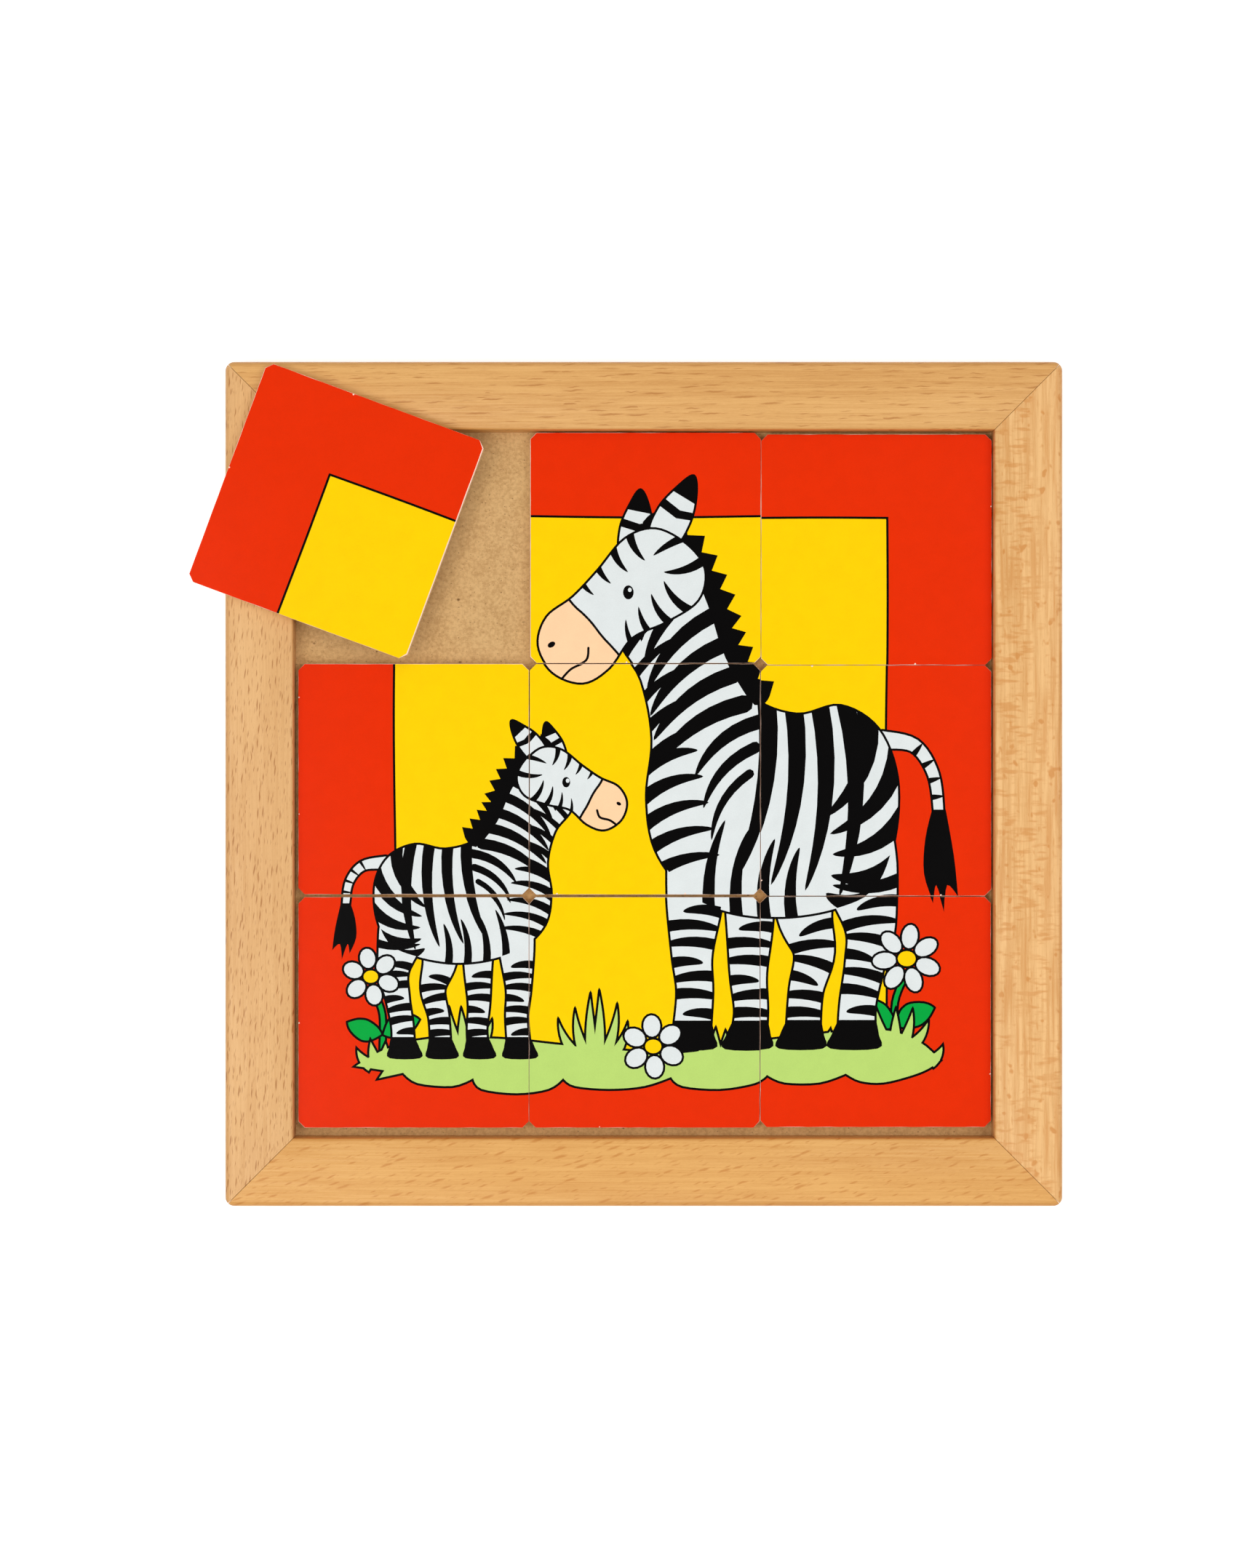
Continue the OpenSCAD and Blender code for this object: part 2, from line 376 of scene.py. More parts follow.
class Dresser:
    """Starts a material and gives it the parts that every finish here has."""

    def __init__(self, name: str, roughness: float, specular: float = 0.5, metallic: float = 0.0) -> None:
        """Starts a material.

        Args:
            name: The material's name.
            roughness: The shader's roughness where nothing changes it.
            specular: The strength of its reflection.
            metallic: 1 for a bare metal, 0 for anything else.
        """
        self.material = bpy.data.materials.new(name)
        self.material.use_nodes = True
        self.nodes = Nodes(self.material.node_tree)
        self.material.node_tree.nodes.clear()
        self.shader = self.nodes.add("ShaderNodeBsdfPrincipled", {
            "Roughness": roughness, "Specular IOR Level": specular, "Metallic": metallic})
        out = self.nodes.add("ShaderNodeOutputMaterial")
        self.join(self.shader.outputs[0], out.inputs[0])

    def join(self, source: Socket, target: Socket) -> None:
        """Links two sockets."""
        self.nodes.join(source, target)

    def place(self, turn: float = 0.0, move: Place = (0, 0, 0)) -> Socket:
        """The piece's own coordinates in millimetres.

        Args:
            turn: Turn about Z in degrees, which lays X along the grain.
            move: Shift in millimetres, so that no two pieces show the same figure.

        Returns:
            The vector's socket.
        """
        coordinates = self.nodes.add("ShaderNodeTexCoord").outputs["Object"]
        return self.nodes.add("ShaderNodeMapping", {
            "Vector": coordinates, "Scale": (1 / MM,) * 3, "Rotation": (0, 0, math.radians(turn)),
            "Location": move}).outputs[0]

    def relief(self, height: Socket, depth: float) -> None:
        """Joins a height to the shader's normal.

        Args:
            height: The height.
            depth: What a height of 1 is, in millimetres.
        """
        inputs = {"Height": height, "Strength": 1.0, "Distance": depth * MM}
        bump = self.nodes.add("ShaderNodeBump", inputs)
        self.join(bump.outputs[0], self.shader.inputs["Normal"])

    def rubbed(self, effects: Effects, place: Socket, roughness: object, amount: float) -> Socket:
        """Adds the marks of handling to the roughness.

        Args:
            effects: The shared effects.
            place: The piece's coordinates in millimetres.
            roughness: The roughness before handling, a number or a socket.
            amount: How far the marks change it.

        Returns:
            The marks' relief.
        """
        inputs = {"Vector": place, "Amount": amount}
        marks = self.nodes.add("ShaderNodeGroup", inputs, node_tree=effects.handling)
        rough = self.nodes.math("ADD", marks.outputs["Gloss Change"], roughness, clamp=True)
        self.join(rough, self.shader.inputs["Roughness"])
        return marks.outputs["Height"]


@dataclass(frozen=True)
class BeechFinish:
    """Sanded and lacquered beech, with the grain of one rail, and painted shade that darkens it a little
    along both its edges.

    Args:
        name: The material's name.
        light: The wood's lightest shade.
        dark: Its shade in the growth lines.
        fleck: The shade of its ray flecks.
        grain_turn: The turn that brings the rail's length to X, in degrees.
        slant: How far the flecks slant against the grain, in degrees.
        move: Where in the wood the rail was cut, in millimetres.
        cover: The share of places that have a fleck.
        strength: How clearly the flecks show.
        pitch: The room for one fleck along and across the grain, in millimetres.
        width: A fleck's width in millimetres.
        growth: How clearly the growth lines show.
        figure: How clearly bars and spots show across the grain.
        edge_shade: The colour of the painted shade along the rounded edges, which the wood's is multiplied
            by.
        outer_shade_band: Where that painted shade starts and is fullest, in millimetres from the outer
            edge.
        inner_shade_band: The same, from the inner edge.
        roughness: The lacquer's roughness.
        relief: The depth of the grain's relief in millimetres.
    """

    name: str
    light: Colour
    dark: Colour
    fleck: Colour
    grain_turn: float = 0.0
    slant: float = 0.0
    move: Place = (0, 0, 0)
    cover: float = 0.7
    strength: float = 0.75
    pitch: tuple[float, float] = (5.5, 2.4)
    width: float = 0.5
    growth: float = 0.3
    figure: float = 0.0
    edge_shade: Colour = (0.72, 0.60, 0.46, 1.0)
    outer_shade_band: tuple[float, float] = (2.6, 0.4)
    inner_shade_band: tuple[float, float] = (1.2, 0.2)
    roughness: float = 0.42
    relief: float = 0.05

    def material(self, effects: Effects, edge: float, rail_width: float) -> Material:
        """Builds the material from the shared grain.

        Args:
            effects: The shared effects.
            edge: From the tray's middle to the rail's outer edge, in millimetres.
            rail_width: The rail's width, in millimetres.

        Returns:
            The material.
        """
        dress = Dresser(self.name, self.roughness, 0.45)
        n = dress.nodes
        place = dress.place(self.grain_turn, self.move)
        grain = n.add("ShaderNodeGroup", {
            "Vector": place, "Light": self.light, "Dark": self.dark, "Fleck": self.fleck,
            "Fleck Cover": self.cover, "Fleck Strength": self.strength, "Fleck Length": self.pitch[0],
            "Fleck Spacing": self.pitch[1], "Fleck Width": self.width,
            "Fleck Slant": math.radians(self.slant), "Growth Lines": self.growth,
            "Figure": self.figure, "Roughness": self.roughness}, node_tree=effects.wood)
        # Painted shade: the wood is darkened towards its outer and inner edges, standing in for the shade
        # that falls on the rounded edges
        across = n.add("ShaderNodeSeparateXYZ", {0: dress.place(self.grain_turn)}).outputs[1]
        inwards = n.math("SUBTRACT", edge, n.math("ABSOLUTE", across))
        outer = n.ramp(inwards, *self.outer_shade_band, 0.0, 0.5)
        inner = n.ramp(n.math("SUBTRACT", rail_width, inwards), *self.inner_shade_band, 0.0, 0.35)
        colour = n.mix(n.math("MAXIMUM", outer, inner), grain.outputs["Color"], self.edge_shade, "MULTIPLY")
        dress.join(colour, dress.shader.inputs["Base Color"])
        marks = dress.rubbed(effects, place, grain.outputs["Roughness"], 0.12)
        dress.relief(n.math("ADD", grain.outputs["Height"], n.math("MULTIPLY", marks, 0.2)), self.relief)
        return dress.material


@dataclass(frozen=True)
class BoardFinish:
    """Bare fibreboard.

    Args:
        name: The material's name.
        light: The shade of the pale fibres.
        dark: The shade of the dark fibres.
        speck: The shade of the scattered specks.
        roughness: Its roughness.
        relief: The depth of its felt in millimetres.
    """

    name: str = "fibreboard"
    light: Colour = shade(215, 174, 118)
    dark: Colour = shade(180, 137, 84)
    speck: Colour = shade(112, 74, 36)
    roughness: float = 0.8
    relief: float = 0.06

    def material(self, effects: Effects) -> Material:
        """Builds the material from the shared felt of fibres.

        Args:
            effects: The shared effects.

        Returns:
            The material.
        """
        dress = Dresser(self.name, self.roughness, 0.25)
        place = dress.place()
        inputs = {"Vector": place, "Light": self.light, "Dark": self.dark, "Speck": self.speck}
        felt = dress.nodes.add("ShaderNodeGroup", inputs, node_tree=effects.board)
        dress.join(felt.outputs["Color"], dress.shader.inputs["Base Color"])
        dress.rubbed(effects, place, self.roughness, 0.1)
        dress.relief(felt.outputs["Height"], self.relief)
        return dress.material


@dataclass(frozen=True)
class VeneerFinish:
    """One ply of a tile's plywood, bare and sanded.

    Args:
        name: The material's name.
        light: The wood's lightest shade.
        dark: Its shade in the growth lines and flecks.
        turn: The turn that brings its grain to X, in degrees.
        growth: How clearly the growth lines show.
        move: Where in the wood it was cut, in millimetres.
        roughness: Its roughness.
        relief: The depth of the grain's relief in millimetres.
    """

    name: str
    light: Colour
    dark: Colour
    turn: float
    growth: float = 0.25
    move: Place = (40, 15, 5)
    roughness: float = 0.6
    relief: float = 0.05

    def material(self, effects: Effects) -> Material:
        """Builds the material from the shared grain, with few flecks.

        Args:
            effects: The shared effects.

        Returns:
            The material.
        """
        dress = Dresser(self.name, self.roughness, 0.3)
        place = dress.place(self.turn, self.move)
        grain = dress.nodes.add("ShaderNodeGroup", {
            "Vector": place, "Light": self.light, "Dark": self.dark, "Fleck": self.dark,
            "Fleck Cover": 0.3, "Fleck Strength": 0.4, "Growth Lines": self.growth,
            "Roughness": self.roughness}, node_tree=effects.wood)
        dress.join(grain.outputs["Color"], dress.shader.inputs["Base Color"])
        dress.rubbed(effects, place, grain.outputs["Roughness"], 0.08)
        dress.relief(grain.outputs["Height"], self.relief)
        return dress.material


@dataclass(frozen=True)
class SteelFinish:
    """Bright drawn steel with faint drawing marks.

    Args:
        name: The material's name.
        light: Its shade between the marks.
        dark: Its shade in the marks.
        roughness: Its roughness.
        relief: The depth of the marks in millimetres.
    """

    name: str = "fastener steel"
    light: Colour = shade(202, 204, 207)
    dark: Colour = shade(158, 160, 165)
    roughness: float = 0.3
    relief: float = 0.01

    def material(self, effects: Effects) -> Material:
        """Builds the material, whose marks run upwards, along the wire.

        Args:
            effects: The shared effects.

        Returns:
            The material.
        """
        dress = Dresser(self.name, self.roughness, 0.5, 1.0)
        n = dress.nodes
        place = dress.place()
        streaks = n.noise(n.stretched(place, (5.0, 5.0, 0.4)), 4.0, 0.7)
        colour = n.mix(n.ramp(streaks, 0.3, 0.7), self.light, self.dark)
        dress.join(colour, dress.shader.inputs["Base Color"])
        marks = dress.rubbed(effects, place, self.roughness, 0.25)
        dress.relief(n.math("ADD", streaks, marks), self.relief)
        return dress.material


class Ink(Enum):
    """The inks of the picture, and the sheet's own white ground."""

    GROUND = 0
    RED = 1
    YELLOW = 2
    WHITE = 3
    BLACK = 4
    PEACH = 5
    GRASS = 6
    LEAF = 7


INK_SHADES = {
    Ink.GROUND: shade(252, 216, 196),
    Ink.RED: shade(228, 45, 0),
    Ink.YELLOW: shade(250, 205, 0),
    Ink.WHITE: shade(221, 226, 225),
    Ink.BLACK: shade(3, 2, 2),
    Ink.PEACH: shade(253, 207, 162),
    Ink.GRASS: shade(184, 214, 112),
    Ink.LEAF: shade(2, 164, 62),
}


@dataclass(frozen=True)
class InkFinish:
    """One flat ink under the sheet's satin seal.

    Args:
        ink: The ink.
        mottle: How far its shade varies.
        roughness: The seal's roughness.
        relief: The depth of the sheet's tooth in millimetres.
    """

    ink: Ink
    mottle: float = 0.035
    roughness: float = 0.2
    relief: float = 0.012

    def material(self, effects: Effects) -> Material:
        """Builds the ink's material.

        Args:
            effects: The shared effects.

        Returns:
            The material.
        """
        dress = Dresser(f"print {self.ink.name.lower()}", self.roughness, 0.08)
        n = dress.nodes
        place = dress.place()
        inputs = {"Vector": place, "Ink": INK_SHADES[self.ink], "Mottle": self.mottle}
        layer = n.add("ShaderNodeGroup", inputs, node_tree=effects.print)
        dress.join(layer.outputs["Color"], dress.shader.inputs["Base Color"])
        marks = dress.rubbed(effects, place, self.roughness, 0.05)
        dress.relief(n.math("ADD", layer.outputs["Height"], n.math("MULTIPLY", marks, 0.3)), self.relief)
        return dress.material


# ---------------------------------------------------------------------------------------------
# Drawing, in millimetres
# ---------------------------------------------------------------------------------------------

# Width of the picture's black outlines
LINE = 0.8


@dataclass
class Patch:
    """One flat area of ink, which covers what was laid down before it.

    Args:
        ink: The ink.
        outline: Its edge.
        within: An edge that cuts it off, or None.
    """

    ink: Ink
    outline: np.ndarray
    within: np.ndarray | None = None


class Pen:
    """Ways to make an outline."""

    # Points nearer to each other than this are one
    SAME = 1e-6
    # A corner sharper than this, as 1 plus the cosine of its turn, is moved as if it were this blunt
    SHARPEST = 0.35

    @staticmethod
    def knots(points: Knots) -> tuple[np.ndarray, np.ndarray]:
        """Splits points into places and corner marks, which are 0 at a sharp corner and 1 elsewhere."""
        rows = np.array([(q[0], q[1], q[2] if len(q) > 2 else 1) for q in points], float)
        return rows[:, :2], rows[:, 2]

    @staticmethod
    def spline(points: Knots, closed: bool = True, steps: int = 6) -> np.ndarray:
        """A smooth line through points.

        Args:
            points: Places, each with a third value of 0 where the line has a corner.
            closed: Whether the line comes back to its start.
            steps: Pieces between two points.

        Returns:
            The line's points.
        """
        place, corner = Pen.knots(points)
        count = len(place)
        line = []
        for i in range(count if closed else count - 1):
            start, end = place[i], place[(i + 1) % count]
            before = place[i - 1] if closed or i > 0 else start
            after = place[(i + 2) % count] if closed or i + 2 < count else end
            leave = (end - before) / 2 * corner[i]
            arrive = (after - start) / 2 * corner[(i + 1) % count]
            t = np.linspace(0, 1, steps, endpoint=False)[:, None]
            line.append((2 * t**3 - 3 * t**2 + 1) * start + (t**3 - 2 * t**2 + t) * leave
                        + (3 * t**2 - 2 * t**3) * end + (t**3 - t**2) * arrive)
        if not closed:
            line.append(place[-1:])
        return np.vstack(line)

    @staticmethod
    def normals(line: np.ndarray) -> np.ndarray:
        """Finds the normals of an open line.

        Args:
            line: Its points.

        Returns:
            The unit normal at each, to the left.
        """
        run = np.gradient(line, axis=0)
        run /= np.linalg.norm(run, axis=1)[:, None] + 1e-12
        return np.stack([-run[:, 1], run[:, 0]], 1)

    @staticmethod
    def ribbon(points: Knots, steps: int = 6, cap: int = 5) -> np.ndarray:
        """A limb with round ends.

        Args:
            points: Places on its middle, each with the half width there.
            steps: Pieces between two points.
            cap: Points round each end.

        Returns:
            Its outline.
        """
        rows = np.array(points, float)
        line = Pen.spline([tuple(q[:2]) for q in rows], False, steps)
        wide = Pen.spline([(i, q[2]) for i, q in enumerate(rows)], False, steps)[:, 1]
        side = Pen.normals(line)

        def end(centre: np.ndarray, radius: float, first: np.ndarray) -> np.ndarray:
            """Half a circle that starts towards first and turns clockwise."""
            angle = math.atan2(first[1], first[0]) - np.linspace(0, math.pi, cap + 2)[1:-1]
            return centre + radius * np.stack([np.cos(angle), np.sin(angle)], 1)

        return np.vstack([line + side * wide[:, None], end(line[-1], wide[-1], side[-1]),
                          (line - side * wide[:, None])[::-1], end(line[0], wide[0], -side[0])])

    @staticmethod
    def area(outline: np.ndarray) -> float:
        """The area inside an outline, negative if it runs clockwise."""
        x, y = outline.T
        return 0.5 * float(np.sum(x * np.roll(y, -1) - np.roll(x, -1) * y))

    @staticmethod
    def grown(outline: np.ndarray, by: float) -> np.ndarray:
        """Moves an outline outwards. Points whose edges would run backwards there are left out.

        Args:
            outline: The outline.
            by: How far, or how far inwards if it is negative.

        Returns:
            The moved outline, anticlockwise.
        """
        points = outline if Pen.area(outline) > 0 else outline[::-1]
        points = points[np.linalg.norm(points - np.roll(points, 1, axis=0), axis=1) > Pen.SAME]
        run = np.roll(points, -1, axis=0) - points
        run /= np.linalg.norm(run, axis=1)[:, None]
        out = np.stack([run[:, 1], -run[:, 0]], 1)
        both = out + np.roll(out, 1, axis=0)
        length = np.sum(both * both, axis=1)[:, None] / 2
        moved = points + both / np.maximum(length, Pen.SHARPEST) * by
        ahead = np.sum((np.roll(moved, -1, axis=0) - moved) * run, axis=1) > 0
        kept = ahead | np.roll(ahead, 1)
        return moved[kept] if kept.sum() > 3 else moved

    @staticmethod
    def blade(start: Sequence[float], end: Sequence[float], width: float, bend: float = 0.0,
              blunt: float = 0.0) -> np.ndarray:
        """A stripe that is full width at its start and narrows towards its end.

        Args:
            start: Where it starts.
            end: Where it ends.
            width: Its width at the start.
            bend: How far it bows, as a share of its length.
            blunt: From 0 for a pointed end to 1 for a full, round one. Above 0 its start is round too.

        Returns:
            Its outline.
        """
        first, last = np.array(start, float), np.array(end, float)
        run = last - first
        t = 1 - np.linspace(1, 0, 11) ** 1.6
        bow = np.array([-run[1], run[0]]) * (bend * 4 * t * (1 - t))[:, None]
        line = first + run * t[:, None] + bow
        taper = (1 - blunt) * (1 - t**1.8) + blunt * np.sqrt(1 - t**3)
        side = Pen.normals(line) * (width / 2 * taper)[:, None]
        outline = [line + side, (line - side)[::-1]]
        if blunt > 0:
            angle = np.radians((40, 90, 140))[:, None]
            way = np.array([side[0, 1], -side[0, 0]])
            outline.append(first - side[0] * np.cos(angle) - way * np.sin(angle))
        return np.vstack(outline)

    @staticmethod
    def turned(points: Knots, degrees: float) -> np.ndarray:
        """Turns points about the origin.

        Args:
            points: The points.
            degrees: How far, anticlockwise.

        Returns:
            The turned points.
        """
        angle = math.radians(degrees)
        cos, sin = math.cos(angle), math.sin(angle)
        return np.array(points, float) @ np.array([[cos, sin], [-sin, cos]])

    @staticmethod
    def ellipse(x: float, y: float, across: float, up: float, turn: float = 0.0,
                steps: int = 20) -> np.ndarray:
        """An ellipse about (x, y) with the half axes across and up, turned by degrees."""
        angle = np.linspace(0, 2 * math.pi, steps, endpoint=False)
        return Pen.turned(np.stack([across * np.cos(angle), up * np.sin(angle)], 1), turn) + (x, y)

    @staticmethod
    def along(line: np.ndarray, share: float) -> tuple[np.ndarray, np.ndarray]:
        """Walks along an open line.

        Args:
            line: Its points.
            share: How far, as a share of its length.

        Returns:
            The place there and the line's unit normal, to its left.
        """
        step = np.linalg.norm(np.diff(line, axis=0), axis=1)
        run = np.concatenate([[0], np.cumsum(step)])
        i = min(int(np.searchsorted(run, share * run[-1], side="right")) - 1, len(step) - 1)
        t = (share * run[-1] - run[i]) / step[i]
        way = (line[i + 1] - line[i]) / step[i]
        return line[i] + (line[i + 1] - line[i]) * t, np.array([-way[1], way[0]])

    @staticmethod
    def inside(points: np.ndarray, outline: np.ndarray) -> np.ndarray:
        """Tells which points lie inside an outline, by its winding number.

        Args:
            points: The points.
            outline: The outline, whose loops that fold over count as outside.

        Returns:
            True or False for each point.
        """
        x, y = points.T
        wind = np.zeros(len(points), int)
        for (x1, y1), (x2, y2) in zip(outline, np.roll(outline, -1, axis=0)):
            up, down = (y1 <= y) & (y2 > y), (y1 > y) & (y2 <= y)
            cross = (x2 - x1) * (y - y1) - (x - x1) * (y2 - y1)
            wind += (up & (cross > 0)).astype(int) - (down & (cross < 0)).astype(int)
        return wind * math.copysign(1, Pen.area(outline)) > 0

    @staticmethod
    def edged(ink: Ink, *outlines: np.ndarray) -> list[Patch]:
        """Areas of one ink, with one black edge round all of them together."""
        edges = [Patch(Ink.BLACK, Pen.grown(outline, LINE / 2)) for outline in outlines]
        return edges + [Patch(ink, Pen.grown(outline, -LINE / 2)) for outline in outlines]


@dataclass
class Limb:
    """One leg.

    Args:
        outline: Its edge.
        middle: Its middle line, from the trunk down.
        hoof: The edge of its hoof.
    """

    outline: np.ndarray
    middle: np.ndarray
    hoof: np.ndarray


@dataclass
class Zebra:
    """A standing zebra in plain side view.

    It is drawn facing left, 121 mm high at the withers, with its hooves on y = 0 and its chest near
    x = 0, and then placed, mirrored and given its own build.

    Args:
        place: Where the figure's origin goes in the picture.
        mirrored: Whether it faces right.
        length: Its length, as a share of that figure's.
        depth: The depth of its trunk, as a share.
        legs: The length of its legs, as a share.
        head: The size of its head, as a share.
        head_turn: How far its nose points down, in degrees.
        patches: What is drawn so far.
    """

    place: tuple[float, float]
    mirrored: bool = False
    length: float = 1.0
    depth: float = 1.0
    legs: float = 1.0
    head: float = 1.0
    head_turn: float = 40.0
    patches: list[Patch] = field(default_factory=list)

    # The figure's belly line, the poll of its head, and the tufts of its mane
    BELLY = 50.0
    POLL = (1, 171)
    TUFTS = 11

    @property
    def build(self) -> float:
        """The share for widths across the limbs."""
        return math.sqrt(self.length * self.depth)

    @property
    def hand(self) -> int:
        """1, or -1 for a figure that is mirrored."""
        return -1 if self.mirrored else 1

    def put(self, points: Knots) -> np.ndarray:
        """Carries points of the figure over to the picture.

        Args:
            points: The points, with their corner marks.

        Returns:
            Rows of place and corner mark.
        """
        (x, y), corner = Pen.knots(points)[0].T, Pen.knots(points)[1]
        up = self.legs * np.minimum(y, self.BELLY) + self.depth * np.maximum(y - self.BELLY, 0)
        return np.stack([self.hand * self.length * x + self.place[0], up + self.place[1], corner], 1)

    def put_head(self, points: Knots) -> np.ndarray:
        """Carries points of the head, whose poll is at the origin and nose at -x, over to the picture."""
        turned = Pen.turned(Pen.knots(points)[0], self.head_turn) * self.head
        return turned * (self.hand, 1) + self.put([self.POLL])[0, :2]

    def black(self, outline: np.ndarray, within: np.ndarray | None = None) -> None:
        """Lays down black ink."""
        self.patches.append(Patch(Ink.BLACK, outline, within))

    def coat(self, *outlines: np.ndarray) -> list[np.ndarray]:
        """Lays down white areas with one black edge, and returns what lies inside that edge."""
        self.patches += Pen.edged(Ink.WHITE, *outlines)
        return [Pen.grown(outline, -LINE / 2) for outline in outlines]

    def stripe(self, start: tuple, end: tuple, width: float, within: np.ndarray, bend: float = 0.0) -> None:
        """Lays one stripe on the coat, broad at its start and cut off by the edge that it is within."""
        ends = self.put([start, end])[:, :2]
        self.black(Pen.blade(*ends, width * (self.length + self.depth) / 2, bend * self.hand, 0.55), within)

    def draw(self) -> list[Patch]:
        """Draws the whole figure.

        Returns:
            Its patches.
        """
        self.far_legs()
        self.tail()
        self.ear((-9, 7), -46, 0.92)
        self.trunk()
        self.mane()
        self.ear((3, 4), -66)
        self.face()
        return self.patches

    def limb(self, line: Knots) -> Limb:
        """Makes a leg.

        Args:
            line: Its middle line with half widths, from the trunk down to the hoof.

        Returns:
            The leg.
        """
        middle = self.put([point[:2] for point in line])[:, :2]
        outline = Pen.ribbon([(*place, point[2] * self.build) for place, point in zip(middle, line)])
        x, half = line[-1][0], line[-1][2] / self.length * self.build
        toe, heel = x - half, x + half
        hoof = Pen.spline(self.put([
            (toe - 2.4, 0.4), (toe - 1.8, 4.6), (toe + 0.6, 9.5, 0), (heel - 0.2, 9.5, 0),
            (heel + 0.8, 4.6), (heel + 0.6, 0.4)]), steps=4)
        return Limb(outline, Pen.spline(middle.tolist(), False), hoof)

    def band(self, limb: Limb, start: float, count: int) -> None:
        """Lays bands across a leg and blackens its hoof.

        Args:
            limb: The leg.
            start: The share of its length where the bands start.
            count: How many there are.
        """
        inner = Pen.grown(limb.outline, -LINE / 2)
        for i in range(count):
            middle, side = Pen.along(limb.middle, start + (0.93 - start) * i / (count - 1))
            hand = 1 if i % 2 else -1
            side = side * hand * 11 * self.build
            end = middle + side * (1.0 if i % 3 else 0.35)
            self.black(Pen.blade(middle - side, end, 3.9 * self.legs, 0.08 * hand, 0.8), inner)
        self.black(Pen.grown(limb.hoof, LINE / 2))

    def far_legs(self) -> None:
        """Draws the two legs on the far side."""
        for line in ([(32, 66, 10), (32, 42, 8.2), (31.5, 26, 6.6), (32.5, 14, 6.0), (32, 7, 6.2)],
                     [(51, 64, 12), (52, 46, 10), (55.5, 33, 7.4), (52.5, 20, 6.2), (51.5, 7, 6.2)]):
            limb = self.limb(line)
            self.coat(limb.outline)
            self.band(limb, 0.42, 6)

    def trunk(self) -> None:
        """Draws the neck, the trunk and the two near legs with their stripes."""
        trunk = Pen.spline(self.put([
            (-6, 174), (8, 172), (18, 155), (24, 137), (33, 121), (49, 115), (65, 118), (79, 110),
            (86, 93), (85, 72), (78, 55), (64, 48), (44, 45), (24, 47), (8, 54), (-3, 68), (-6, 86),
            (-4, 106), (-8, 126), (-17, 144)]))
        fore = self.limb([(13, 74, 11), (12, 52, 10.2), (11, 33, 7.4), (12, 20, 6.6), (11, 7, 6.8)])
        hind = self.limb([(70, 84, 12), (72, 62, 13.5), (76, 42, 9.2), (74, 29, 7.2), (71.5, 16, 6.6),
                          (71, 7, 6.8)])
        body, _, thigh = self.coat(trunk, fore.outline, hind.outline)
        self.band(fore, 0.40, 7)
        self.band(hind, 0.46, 7)
        # The neck, from the mane down
        for i in range(6):
            t = i / 5
            self.stripe((30 - 20 * t, 118 + 50 * t), (-2 - 6 * t, 97 + 42 * t), 6.4 - 1.4 * t, body, -0.10)
        # The throat, upwards
        for i in range(5):
            t = i / 4
            self.stripe((-9 - 6 * t, 93 + 40 * t), (12 - 6 * t, 110 + 42 * t), 4.6 - 1.4 * t, body, 0.08)
        # The chest, from the front
        for i in range(5):
            self.stripe((-8, 56 + 9.5 * i), (21 - 2 * i, 66 + 9 * i), 5.0, body, 0.10)
        # The shoulder, from the withers down
        for i in range(3):
            self.stripe((36 - 2 * i, 112 - 9 * i), (12 + 3 * i, 93 - 11 * i), 5.2 - i, body, -0.12)
        # The flank, from the back down
        for i in range(4):
            x = 37 + 9.5 * i
            self.stripe((x + 1, 120), (x - 10 + 3 * i, 58 - 2 * i), 6.6, body, 0.07)
        # The belly, upwards
        for i in range(4):
            self.stripe((18 + 10 * i, 42), (23 + 9 * i, 78 - 3 * i), 4.6, body, 0.08)
        # The rump, from behind, and the thigh
        for i in range(5):
            angle = math.radians(66 - 31 * i)
            cos, sin = math.cos(angle), math.sin(angle)
            rump = (57 + 5 * cos, 72 + 8 * sin - 3 * i)
            self.stripe((62 + 30 * cos, 84 + 38 * sin), rump, 7.2, body, 0.16)
        self.stripe((91, 60), (62, 56), 5.0, thigh, 0.1)

    def mane(self) -> None:
        """Draws the upright tufts along the crest of the neck."""
        crest = Pen.spline(self.put([(36, 119), (24, 137), (18, 155), (8, 172), (-6, 180)]), False)
        tufts = []
        for i in range(2 * self.TUFTS + 1):
            place, side = Pen.along(crest, i / (2 * self.TUFTS))
            height = (7.6 if i % 2 else 3.4) * math.sqrt(self.depth)
            tufts.append((*(place - side * self.hand * height), 0))
        roots = [Pen.along(crest, 1 - i / 4) for i in range(5)]
        inner = [tuple(place + side * self.hand * 2.6) for place, side in roots]
        self.black(Pen.spline(tufts + inner, steps=3))

    def tail(self) -> None:
        """Draws the tail with its bands and its dark tuft."""
        line = self.put([(80, 106), (92, 104), (99, 94), (101, 80)])[:, :2]
        width = math.sqrt(self.depth)
        tail = Pen.ribbon([(*place, half * width) for place, half in zip(line, (3.4, 2.6, 2.2, 2.0))])
        inner = self.coat(tail)[0]
        middle = Pen.spline(line.tolist(), False)
        for i in range(4):
            place, side = Pen.along(middle, 0.35 + 0.16 * i)
            self.black(Pen.blade(place - side * 4, place + side * 2.4, 2.2 * self.depth, 0, 0.3), inner)
        self.black(Pen.spline(self.put([
            (98.5, 82, 0), (96, 72), (95.5, 60), (99, 50, 0), (100, 56), (103, 47, 0), (104, 56),
            (108, 52, 0), (106.5, 66), (103.5, 82, 0)]), steps=4))

    def ear(self, base: tuple[float, float], turn: float, size: float = 1.0) -> None:
        """Draws one ear, with a dark tip and a dark bar.

        Args:
            base: Where it stands on the head.
            turn: Its turn against the head, in degrees.
            size: Its size, as a share.
        """
        def on_head(points: Knots) -> np.ndarray:
            """Carries points of the ear over to the picture."""
            return self.put_head(Pen.turned(np.array(points) * size, turn) + base)

